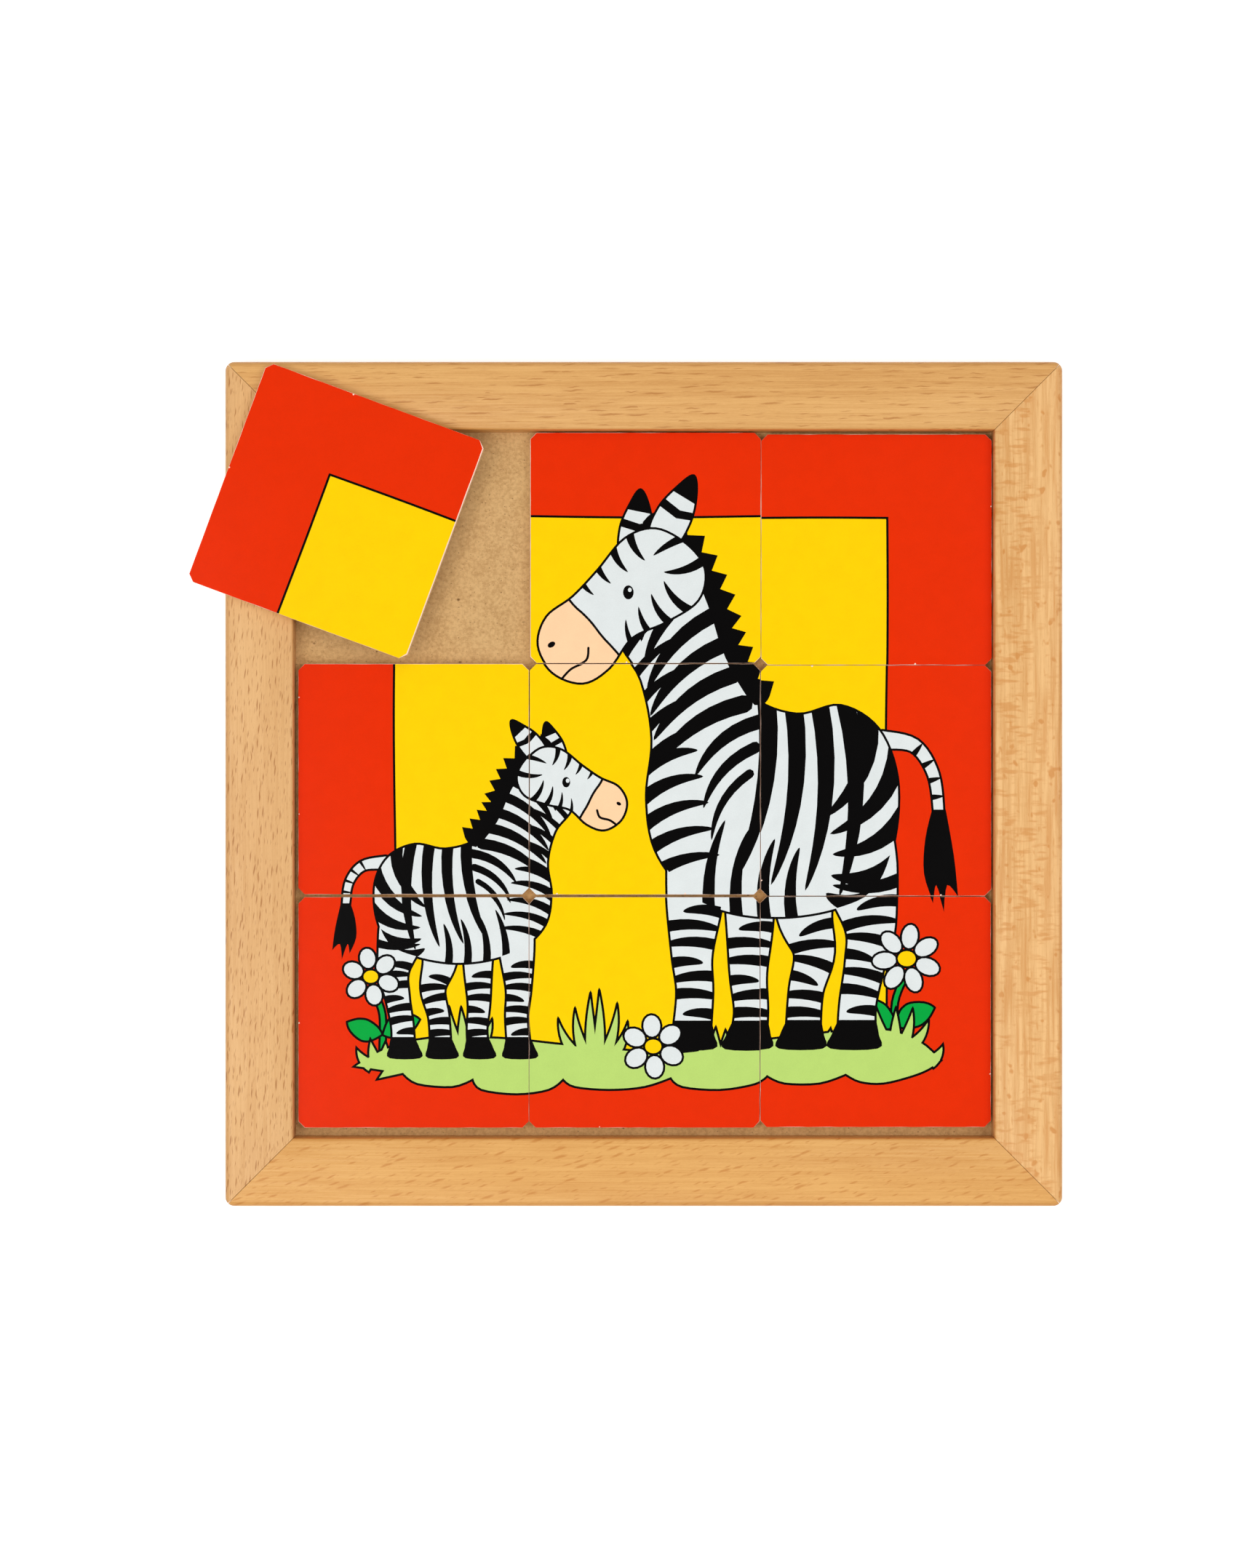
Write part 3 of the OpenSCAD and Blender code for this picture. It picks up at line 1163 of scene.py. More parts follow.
        outline = Pen.spline(on_head([
            (-5.2, -2), (-6.6, 8), (-3.6, 18), (0, 24), (4, 18), (6.4, 8), (4.8, -2)]))
        inner = self.coat(outline)[0]
        self.black(on_head([(-8, 16), (8, 14.5), (8, 30), (-8, 30)]), inner)
        self.black(on_head([(-8, 9), (1, 7.2), (8, 9.4), (8, 12.2), (1, 10.4), (-8, 12.4)]), inner)

    def face(self) -> None:
        """Draws the head with its muzzle, stripes, eye, nostril and mouth."""
        skull = Pen.spline(self.put_head([
            (7, -4), (2, 8), (-9, 12.5), (-24, 10), (-37, 8.5), (-49, 9), (-58, 3), (-60, -8),
            (-54, -18), (-43, -20), (-30, -17), (-17, -20.5), (-3, -22), (6, -15)]))
        face = self.coat(skull)[0]
        muzzle = Pen.spline(self.put_head([
            (-42.5, 16), (-38.5, 4), (-38, -8), (-41, -26), (-70, -26), (-72, 16)]))
        self.black(Pen.grown(muzzle, LINE / 2), face)
        self.patches.append(Patch(Ink.PEACH, Pen.grown(muzzle, -LINE / 2), face))
        brow = [((-4 - 8.2 * i, 16), (-8.5 - 7.4 * i, 1.5 + 0.8 * i), 3.4 - 0.2 * i, -0.12)
                for i in range(4)]
        jaw = [((-6 - 8.5 * i, -26), (-8 - 6.5 * i, -8.5 - 0.6 * i), 3.6 - 0.3 * i, 0.12)
               for i in range(4)]
        nape = [((9, -12), (-6, -6), 3.6, 0.1), ((10, -2), (-5, 1), 3.2, -0.05)]
        for start, end, width, bend in brow + jaw + nape:
            ends = self.put_head([start, end])
            self.black(Pen.blade(*ends, width * self.head, bend * self.hand, 0.4), face)
        x, y = self.put_head([(-20.5, -3.4)])[0]
        size = self.head ** 0.6
        self.black(Pen.ellipse(x, y, 1.9 * size, 2.5 * size))
        glint = Pen.ellipse(x + 0.5, y + 0.9 * self.head, 0.65, 0.75, steps=10)
        self.patches.append(Patch(Ink.WHITE, glint))
        x, y = self.put_head([(-54, 0)])[0]
        self.black(Pen.ellipse(x, y, 1.5 * self.head, self.head, 30 * self.hand, 12))
        mouth = self.put_head([(-60, -12), (-54, -11.2), (-48, -12.4), (-44.5, -9.5)])
        self.black(Pen.ribbon([(*place, LINE / 2) for place in mouth], cap=3), face)


@dataclass
class Meadow:
    """The bank of grass with its daisies and leaves.

    Args:
        bank: The outline of the ground.
        clumps: Place, height, number of blades and spread of each clump.
        blade_width: The width of a blade at its foot.
        seed: Start of the random draws.
    """

    bank: tuple = (
        (-100, -98, 0), (-90, -92), (-74, -88), (-50, -88), (-30, -90), (-8, -92), (12, -93), (32, -90),
        (56, -87), (80, -85), (94, -89), (102, -96, 0), (98, -99), (92, -101.5), (82, -104), (74, -103.5),
        (69, -101, 0), (60, -104), (48, -104), (42, -101.5, 0), (38, -104), (26, -106), (13, -105),
        (9, -102, 0), (0, -105), (-12, -106), (-24, -105), (-28, -102.5, 0), (-33, -106), (-44, -107.5),
        (-56, -106), (-59, -102.5, 0), (-66, -105), (-78, -104), (-83, -100.5, 0), (-92, -102.5, 0),
        (-90, -99.5, 0))
    clumps: tuple = (
        ((-91, -95), 8, 4, 7), ((-62, -90), 16, 5, 9), ((-17, -93), 22, 6, 12), ((26, -93), 9, 4, 7),
        ((58, -89), 8, 3, 6), ((86, -89), 15, 5, 12), ((95, -94), 7, 3, 8))
    blade_width: float = 4.6
    seed: int = 4

    def turf(self) -> list[Patch]:
        """Draws the bank and its blades, in one edge.

        Returns:
            Their patches.
        """
        draw = random.Random(self.seed)
        blades = []
        for (x, y), height, count, spread in self.clumps:
            for i in range(count):
                t = 2 * i / (count - 1) - 1
                tall = height * (1 - 0.45 * t * t) * draw.uniform(0.75, 1.05)
                tip = (x + spread * t + draw.uniform(-1.2, 1.2), y + tall)
                blades.append(Pen.blade((x + 0.35 * spread * t, y - 3), tip, self.blade_width, -0.10 * t))
        return Pen.edged(Ink.GRASS, *blades, Pen.spline(self.bank, steps=4))

    @staticmethod
    def stem(*points: tuple[float, float]) -> list[Patch]:
        """Draws a thin stem through points."""
        return Pen.edged(Ink.LEAF, Pen.ribbon([(*point, 1.1) for point in points]))

    @staticmethod
    def leaf(x: float, y: float, length: float, turn: float) -> list[Patch]:
        """Draws one leaf.

        Args:
            x: Where it grows from.
            y: The same, upwards.
            length: Its length.
            turn: The way it points, in degrees anticlockwise from the right.

        Returns:
            Its patches.
        """
        shape = [(0, 0), (0.3, 0.3), (0.72, 0.27), (1, 0), (0.7, -0.2), (0.3, -0.2)]
        placed = Pen.turned(np.array(shape) * length, turn) + (x, y)
        return Pen.edged(Ink.LEAF, Pen.spline([(*p, i % 3) for i, p in enumerate(placed)]))

    @staticmethod
    def daisy(x: float, y: float, radius: float, petals: int, turn: float) -> list[Patch]:
        """Draws one daisy.

        Args:
            x: The place of its middle.
            y: The same, upwards.
            radius: Its radius.
            petals: How many petals it has.
            turn: The turn of the first petal, in degrees.

        Returns:
            Its patches.
        """
        flower = []
        for ring, ink in ((LINE / 2, Ink.BLACK), (-LINE / 2, Ink.WHITE)):
            for i in range(petals):
                angle = turn + 360 * i / petals
                middle = Pen.turned([(0, radius * 0.64)], angle)[0] + (x, y)
                petal = Pen.ellipse(*middle, radius * 1.8 / petals + ring, radius * 0.37 + ring, angle, 16)
                flower.append(Patch(ink, petal))
        for ring, ink in ((LINE / 2, Ink.BLACK), (-LINE / 2, Ink.YELLOW)):
            flower.append(Patch(ink, Pen.ellipse(x, y, radius * 0.29 + ring, radius * 0.25 + ring)))
        return flower

    def behind(self) -> list[Patch]:
        """Draws what the animals stand in front of.

        Returns:
            Its patches.
        """
        left = self.stem((-93, -72), (-90, -80), (-90, -92))
        left += self.leaf(-90, -87, 13, 160) + self.leaf(-90, -87, 14, 22)
        right = self.stem((90, -66), (86, -76), (86, -90))
        right += self.leaf(86, -85, 15, 136) + self.leaf(86, -84, 15, 24)
        return left + right + self.turf()

    def before(self) -> list[Patch]:
        """Draws what stands in front of the animals, and returns its patches."""
        daisies = ((-94, -67, 10, 6, 10), (3, -91, 11, 6, 4), (90, -61, 12, 7, -8))
        return [patch for daisy in daisies for patch in self.daisy(*daisy)]


@dataclass
class Picture:
    """The whole picture, 3 tiles wide and high, with the origin in its middle.

    Args:
        left: Left edge of the yellow panel.
        right: Its right edge.
        top: Its upper edge.
        bottom: Its lower edge, which the grass covers.
        waver: How far its hand-drawn edge wavers.
    """

    left: float = -85.7
    right: float = 83.0
    top: float = 90.2
    bottom: float = -92.5
    waver: float = 0.45

    EDGE_STEPS = 8

    def panel(self) -> list[Patch]:
        """Draws the yellow panel.

        Returns:
            Its patches.
        """
        corners = [(self.left, self.bottom), (self.right, self.bottom),
                   (self.right, self.top), (self.left, self.top)]
        points = []
        for (ax, ay), (bx, by) in zip(corners, corners[1:] + corners[:1]):
            for i in range(self.EDGE_STEPS):
                t = i / self.EDGE_STEPS
                off = self.waver * math.sin(2.2 * math.pi * t + ax) * math.sin(math.pi * t)
                move = (0, off) if ay == by else (off, 0)
                points.append((ax + (bx - ax) * t + move[0], ay + (by - ay) * t + move[1], min(i, 1)))
        return Pen.edged(Ink.YELLOW, Pen.spline(points, steps=3))

    def draw(self) -> list[Patch]:
        """Draws everything on the red ground.

        Returns:
            The patches, from the back to the front.
        """
        meadow = Meadow()
        mare = Zebra((6, -92), length=0.94, head=0.95)
        foal = Zebra((-36, -95), True, length=0.66, depth=0.54, legs=0.72, head=0.58, head_turn=28)
        return self.panel() + meadow.behind() + mare.draw() + foal.draw() + meadow.before()


# ---------------------------------------------------------------------------------------------
# Meshes
# ---------------------------------------------------------------------------------------------


def finished(name: str, mesh: Mesh, body: str, node: str) -> bpy.types.Object:
    """Makes a mesh into a piece that stands for a CAD node.

    Args:
        name: The piece's name.
        mesh: Its mesh, in place and in metres.
        body: The body that it rides on.
        node: The CAD node that it stands for.

    Returns:
        The piece.
    """
    mesh.name = name
    piece = bpy.data.objects.new(name, mesh)
    bpy.context.scene.collection.objects.link(piece)
    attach(piece, body)
    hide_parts(node)
    log.info("%s: %d faces, stands for %s on body %s", name, len(mesh.polygons), node, body)
    return piece


def clipped_square(side: float, clip: float, inset: float = 0.0) -> np.ndarray:
    """A square about the origin with its corners clipped, anticlockwise.

    Args:
        side: Its side.
        clip: The leg of each corner's clip.
        inset: How far the whole outline is moved inwards.

    Returns:
        Its eight corners.
    """
    half = side / 2
    near = half - clip
    points = np.array([(near, -half), (half, -near), (half, near), (near, half),
                       (-near, half), (-half, near), (-half, -near), (-near, -half)])
    return Pen.grown(points, -inset) if inset else points


@dataclass
class Tile:
    """One loose tile: a plywood board with a printed sheet on it. Its sizes are in millimetres.

    Args:
        cell: The name of its place in the grid.
        column: Its column, 0 to 2 from the left.
        row: Its row, 0 to 2 from the top.
        side: Its side.
        turn: Its turn anticlockwise, in degrees.
        clip: The leg of its corner clips.
        eased: How far the board's lower edge is eased by sanding.
        joints: Where the glue lines between the plies lie, as shares of the board's thickness.
        margin: The least width of the sheet's white edge.
        fray: How much that width varies.
        worn: How much wider it is along the right, upper, left and lower edge.
    """

    cell: str
    column: int
    row: int
    side: float
    turn: float = 0.0
    clip: float = 2.2
    eased: float = 0.25
    joints: tuple[float, float] = (0.31, 0.69)
    margin: float = 0.015
    fray: float = 0.08
    worn: tuple[float, float, float, float] = (0, 0, 0, 0)

    # Distance between the white edge's points, and of the chips' middles from the sheet's edge
    FRAY_STEP = 3.5
    CHIP_DEPTH = 0.25
    # How far the sheet's upper edge is worn down
    RIM_DROP = 0.05
    # How far past the tile's edge the picture is kept, and what the cut takes for one point
    SPARE = 0.5
    WELD = 1e-4

    @property
    def middle(self) -> Vector:
        """The tile's middle in the tray's frame."""
        low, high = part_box(f"{self.cell}_tile_board")
        return (low + high) / 2

    def placed(self, points: np.ndarray, z: float) -> list[Vector]:
        """Carries points in the tile's own millimetres over to the tray's frame, at z in metres."""
        middle = self.middle
        return [Vector((middle.x + x * MM, middle.y + y * MM, z)) for x, y in Pen.turned(points, self.turn)]

    def piece(self, part: str, mesh: Mesh, slot: str) -> bpy.types.Object:
        """Makes a mesh into one of the tile's pieces, as finished does, and returns it."""
        body = f"{self.cell}_tile"
        return finished(f"{self.cell}_{part}", mesh, body, f"{body}_{part}")

    def board(self, plies: Sequence[Material]) -> bpy.types.Object:
        """Builds the board as a stack of rings, so that each ply shows on its edge.

        Args:
            plies: The materials of the outer plies and of the core.

        Returns:
            The board.
        """
        low, high = (corner.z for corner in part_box(f"{self.cell}_tile_board"))
        thick = high - low
        lower_joint, upper_joint = self.joints
        # Each ring's inset, its share of the height, and the ply between it and the next one up
        rings = [(self.eased, 0.0, 0), (0.0, self.eased * MM / thick, 0), (0.0, lower_joint, 1),
                 (0.0, upper_joint, 0), (0.0, 1.0, 0)]
        work = bmesh.new()
        loops = []
        for inset, share, _ in rings:
            points = self.placed(clipped_square(self.side, self.clip, inset), low + thick * share)
            loops.append([work.verts.new(point) for point in points])
        work.faces.new(loops[0][::-1])
        work.faces.new(loops[-1])
        for lower, upper, (_, _, ply) in zip(loops, loops[1:], rings):
            for i in range(len(lower)):
                j = (i + 1) % len(lower)
                work.faces.new((lower[i], lower[j], upper[j], upper[i])).material_index = ply
        mesh = bpy.data.meshes.new(self.cell)
        work.to_mesh(mesh)
        work.free()
        for material in plies:
            mesh.materials.append(material)
        return self.piece("board", mesh, "tile_plywood")

    def inner_edge(self, draw: random.Random) -> np.ndarray:
        """Makes the uneven edge where the inks stop, just inside the sheet's own.

        Args:
            draw: The source of this tile's random draws.

        Returns:
            The edge.
        """
        corners = clipped_square(self.side, self.clip)
        points = []
        for start, end in zip(corners, np.roll(corners, -1, axis=0)):
            pieces = max(1, round(float(np.linalg.norm(end - start)) / self.FRAY_STEP))
            points += [start + (end - start) * i / pieces for i in range(pieces)]
        line = np.array(points)
        inwards = line - Pen.grown(line, 1.0)
        depth = np.array([self.margin + self.fray * draw.random() ** 2 for _ in line])
        edges = line @ np.array([(1, 0, -1, 0), (0, 1, 0, -1)]) > self.side / 2 - Pen.SAME
        depth += edges @ np.array(self.worn)
        return line + inwards * depth[:, None]

    def chips(self, draw: random.Random) -> list[Patch]:
        """Makes tiny spots at the edge where the ink has come off the ground.

        Args:
            draw: The source of this tile's random draws.

        Returns:
            The spots.
        """
        spots = []
        for _ in range(draw.choice((1, 2, 2, 3))):
            edge, run = draw.randrange(4), draw.uniform(-0.45, 0.45) * self.side
            place = Pen.turned([(run, self.side / 2 - self.CHIP_DEPTH)], 90 * edge)[0]
            size = draw.uniform(0.2, 0.42)
            spots.append(Patch(Ink.GROUND, Pen.ellipse(*place, size, size * 0.8, draw.uniform(0, 90), 7)))
        return spots

    def cut(self, patches: Iterable[Patch],
            draw: random.Random) -> tuple[np.ndarray, np.ndarray, np.ndarray]:
        """Cuts the picture into triangles of one ink each, over this tile alone.

        Args:
            patches: The picture's patches, from the back to the front.
            draw: The source of this tile's random draws.

        Returns:
            The points in the tile's own millimetres, the triangles, and the ink of each.
        """
        outer = clipped_square(self.side, self.clip)
        inner = self.inner_edge(draw)
        origin = np.array([(self.column - 1) * self.side, (1 - self.row) * self.side])
        reach = self.side / 2 + self.SPARE
        near = []
        for patch in patches:
            outline = patch.outline[:, :2] - origin
            if (outline.min(0) > reach).any() or (outline.max(0) < -reach).any():
                continue
            within = None if patch.within is None else patch.within[:, :2] - origin
            near.append(Patch(patch.ink, outline, within))
        near += self.chips(draw)
        points: list[tuple[float, float]] = []
        edges: list[tuple[int, int]] = []
        cuts = [loop for patch in near for loop in (patch.outline, patch.within) if loop is not None]
        for loop in [outer, inner, *cuts]:
            ends = np.roll(loop, -1, axis=0)
            low, high = np.minimum(loop, ends), np.maximum(loop, ends)
            for i in np.nonzero((low < reach).all(1) & (high > -reach).all(1))[0]:
                edges.append((len(points), len(points) + 1))
                points += [tuple(loop[i]), tuple(ends[i])]
        made = delaunay_2d_cdt([Vector(p) for p in points], edges, [], 0, self.WELD)
        places = np.array([tuple(v) for v in made[0]])
        faces = np.array([tuple(f) for f in made[2]])
        centres = places[faces].mean(1)
        keep = Pen.inside(centres, outer)
        faces, centres = faces[keep], centres[keep]
        inks = np.full(len(faces), Ink.RED.value)
        for patch in near:
            low, high = patch.outline.min(0), patch.outline.max(0)
            close = np.nonzero(((centres >= low) & (centres <= high)).all(1))[0]
            hit = Pen.inside(centres[close], patch.outline)
            if patch.within is not None:
                hit &= Pen.inside(centres[close], patch.within)
            inks[close[hit]] = patch.ink.value
        inks[~Pen.inside(centres, inner)] = Ink.GROUND.value
        return places, faces, inks

    def sheet(self, patches: Iterable[Patch], inks: dict[Ink, Material]) -> bpy.types.Object:
        """Builds the printed sheet, a thin solid whose upper face is cut up into the inks.

        Args:
            patches: The picture's patches.
            inks: The material of each ink.

        Returns:
            The sheet.
        """
        low, high = (corner.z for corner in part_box(f"{self.cell}_tile_print"))
        places, faces, colours = self.cut(patches, random.Random(self.column + 3 * self.row + 1))
        used = sorted({Ink.GROUND.value, *colours.tolist()})
        ground = used.index(Ink.GROUND.value)
        work = bmesh.new()
        top = [work.verts.new(point) for point in self.placed(places, high)]
        for corners, colour in zip(faces, colours):
            work.faces.new([top[i] for i in corners]).material_index = used.index(colour)
        bmesh.ops.delete(work, geom=[v for v in work.verts if not v.link_faces], context="VERTS")
        rim = [edge for edge in work.edges if len(edge.link_faces) == 1]
        edge_verts = dict.fromkeys(v for edge in rim for v in edge.verts)
        foot = {v: work.verts.new((v.co.x, v.co.y, low)) for v in edge_verts}
        follow = {}
        for edge in rim:
            loop = edge.link_loops[0]
            first, second = loop.vert, loop.link_loop_next.vert
            work.faces.new((second, first, foot[first], foot[second])).material_index = ground
            follow[first] = second
        ring = [next(iter(follow))]
        while follow[ring[-1]] is not ring[0]:
            ring.append(follow[ring[-1]])
        work.faces.new([foot[v] for v in reversed(ring)]).material_index = ground
        for v in ring:
            v.co.z = high - self.RIM_DROP * MM
        mesh = bpy.data.meshes.new(self.cell)
        work.to_mesh(mesh)
        work.free()
        for value in used:
            mesh.materials.append(inks[Ink(value)])
        return self.piece("print", mesh, "printed_face")


class Side(Enum):
    """The four sides of the tray, with the turn that brings a rail from the right to its own side."""

    RIGHT = 0
    TOP = 90
    LEFT = 180
    BOTTOM = 270


@dataclass
class Moulding:
    """The section of the rails, and the tree of nodes that makes a mitred rail of it.

    Args:
        width: The rail's width.
        height: Its height.
        rebate_width: Width of the rebate under its inner edge.
        rebate_depth: Depth of that rebate.
        corner: Radius of the tray's upright corners.
        outer: Radius along the outer top edge.
        inner: Radius along the inner top edge.
        joint_edge: How far the sharp edges of the mitres are eased.
        joint_gap: How far the top of each mitre face stands back from the joint, along the rail.
    """

    width: float
    height: float
    rebate_width: float
    rebate_depth: float
    corner: float = 3 * MM
    outer: float = 2 * MM
    inner: float = 0.8 * MM
    joint_edge: float = 0.12 * MM
    joint_gap: float = 0.07 * MM

    # The names of the sweep's own attributes, the steps of half a corner, and what it takes for one point
    SECTION = "section"
    STATION = "station"
    ARC_STEPS = 8
    MERGE = 0.002 * MM

    def section(self) -> list[Place]:
        """Lays out the section.

        Returns:
            Its points, anticlockwise: X outwards from the recess wall and Y up.
        """
        def arc(x: float, y: float, radius: float, first: float, steps: int) -> list[Place]:
            """A quarter circle about (x, y) that starts at first degrees."""
            angles = [math.radians(first + 90 * i / steps) for i in range(steps + 1)]
            return [(x + radius * math.cos(a), y + radius * math.sin(a), 0.0) for a in angles]

        points = [(0.0, self.rebate_depth, 0.0), (self.rebate_width, self.rebate_depth, 0.0),
                  (self.rebate_width, 0.0, 0.0), (self.width, 0.0, 0.0)]
        points += arc(self.width - self.outer, self.height - self.outer, self.outer, 0, 10)
        return points + arc(self.inner, self.height - self.inner, self.inner, 90, 6)

    def tree(self) -> bpy.types.NodeTree:
        """Builds the tree: it sweeps the section along a rail and lays its ends on the mitre planes.

        The outermost part of the section turns round the axis of the tray's corner there.

        Returns:
            The tree, with inputs for the rail's own sizes.
        """
        tree, n, start, end = node_group(
            "mitred rail", "GeometryNodeTree",
            [Port("Section", "NodeSocketGeometry"), Port("Across"), Port("Along"), Port("Axis Distance"),
             Port("Joint Gap"), Port("Gap Floor"), Port("Turn"), Port("Finish", "NodeSocketMaterial")],
            [Port("Rail", "NodeSocketGeometry")])
        profile = n.add("GeometryNodeMeshToCurve", {"Mesh": start.outputs["Section"]})
        kept = n.add("GeometryNodeStoreNamedAttribute", {
            "Geometry": profile.outputs["Curve"], "Name": self.SECTION,
            "Value": n.add("GeometryNodeInputPosition").outputs[0]},
            data_type="FLOAT_VECTOR", domain="POINT")
        stations = 2 * self.ARC_STEPS + 2
        line = n.add("GeometryNodeCurvePrimitiveLine", {"Start": (0, -1, 0), "End": (0, 1, 0)})
        path = n.add("GeometryNodeResampleCurve", {"Curve": line.outputs[0], "Count": stations})
        counted = n.add("GeometryNodeStoreNamedAttribute", {
            "Geometry": path.outputs[0], "Name": self.STATION,
            "Value": n.add("GeometryNodeInputIndex").outputs[0]}, data_type="FLOAT", domain="POINT")
        swept = n.add("GeometryNodeCurveToMesh", {
            "Curve": counted.outputs[0], "Profile Curve": kept.outputs[0], "Fill Caps": True})
        named = "GeometryNodeInputNamedAttribute"
        station = n.add(named, {"Name": self.STATION}, data_type="FLOAT").outputs[0]
        place = n.add(named, {"Name": self.SECTION}, data_type="FLOAT_VECTOR").outputs[0]
        across, up, _ = n.add("ShaderNodeSeparateXYZ", {0: place}).outputs
        # Stations count up from one mitre; the middle two bound the straight stretch
        off = n.math("SUBTRACT", station, (stations - 1) / 2)
        sign = n.math("SIGN", off)
        steps = n.math("SUBTRACT", n.math("ABSOLUTE", off), 0.5)
        angle = n.math("MULTIPLY", steps, math.radians(45) / self.ARC_STEPS)
        straight = n.math("MINIMUM", across, start.outputs["Axis Distance"])
        radius = n.math("SUBTRACT", across, straight)
        x = n.math("ADD", straight, n.math("MULTIPLY", radius, n.math("COSINE", angle)))
        y = n.math("ADD", straight, n.math("MULTIPLY", radius, n.math("SINE", angle)))
        # A hairline is left open along the top of each mitre
        above = n.math("GREATER_THAN", up, start.outputs["Gap Floor"])
        back = n.math("MULTIPLY", start.outputs["Joint Gap"], above)
        reach = n.math("SUBTRACT", n.math("ADD", start.outputs["Along"], y), back)
        placed = n.add("ShaderNodeCombineXYZ", {
            0: n.math("ADD", start.outputs["Across"], x), 1: n.math("MULTIPLY", sign, reach), 2: up})
        moved = n.add("GeometryNodeSetPosition", {
            "Geometry": swept.outputs[0], "Position": placed.outputs[0]})
        merged = n.add("GeometryNodeMergeByDistance", {
            "Geometry": moved.outputs[0], "Distance": self.MERGE})
        spin = n.add("ShaderNodeCombineXYZ", {2: start.outputs["Turn"]})
        turned = n.add("GeometryNodeTransform", {
            "Geometry": merged.outputs[0], "Rotation": spin.outputs[0]})
        real = n.add("GeometryNodeRealizeInstances", {0: turned.outputs[0]})
        # The sweep runs towards its profile's back, so its faces point inwards until they are flipped
        outward = n.add("GeometryNodeFlipFaces", {"Mesh": real.outputs[0]})
        dressed = n.add("GeometryNodeSetMaterial", {
            "Geometry": outward.outputs[0], "Material": start.outputs["Finish"]})
        n.join(dressed.outputs[0], end.inputs["Rail"])
        return tree

    def rail(self, tree: bpy.types.NodeTree, side: Side, across: float, along: float,
             finish: Material) -> bpy.types.Object:
        """Makes one rail.

        Args:
            tree: The tree from tree().
            side: The side of the tray.
            across: Half the recess's size across the rail.
            along: Half its size along the rail.
            finish: The rail's material.

        Returns:
            The rail.
        """
        points = self.section()
        outline = bpy.data.meshes.new("section")
        outline.from_pydata(points, [(i, (i + 1) % len(points)) for i in range(len(points))], [])
        name = f"{side.name.lower()}_rail"
        values = {"Across": across, "Along": along, "Axis Distance": self.width - self.corner,
                  "Joint Gap": self.joint_gap, "Gap Floor": self.height / 2,
                  "Turn": math.radians(side.value), "Finish": finish}
        mesh = grown_by_nodes(outline, tree, values, self.joint_edge)
        return finished(f"{name}_beech", mesh, "tray", name)


def grown_by_nodes(base: Mesh, tree: bpy.types.NodeTree, values: dict, eased: float = 0.0) -> Mesh:
    """Runs a geometry tree on a mesh and returns the result as a plain mesh.

    Args:
        base: The mesh that the tree starts from.
        tree: The tree.
        values: Its inputs by name.
        eased: How far sharp edges are eased afterwards.

    Returns:
        The finished mesh.
    """
    holder = bpy.data.objects.new("holder", base)
    bpy.context.scene.collection.objects.link(holder)
    modifier = holder.modifiers.new("nodes", "NODES")
    modifier.node_group = tree
    for item in tree.interface.items_tree:
        if item.item_type == "SOCKET" and item.in_out == "INPUT" and item.name in values:
            modifier[item.identifier] = values[item.name]
    if eased:
        bevel = holder.modifiers.new("eased", "BEVEL")
        bevel.width = eased
        bevel.segments = 2
        bevel.limit_method = "ANGLE"
        bevel.angle_limit = math.radians(30)
        bevel.use_clamp_overlap = True
    graph = bpy.context.evaluated_depsgraph_get()
    mesh = bpy.data.meshes.new_from_object(holder.evaluated_get(graph), depsgraph=graph)
    holder.modifiers.clear()
    bpy.data.objects.remove(holder)
    for name in [a.name for a in mesh.attributes if a.name in (Moulding.SECTION, Moulding.STATION)]:
        mesh.attributes.remove(mesh.attributes[name])
    mesh.shade_smooth()
    mesh.set_sharp_from_angle(angle=math.radians(24))
    return mesh


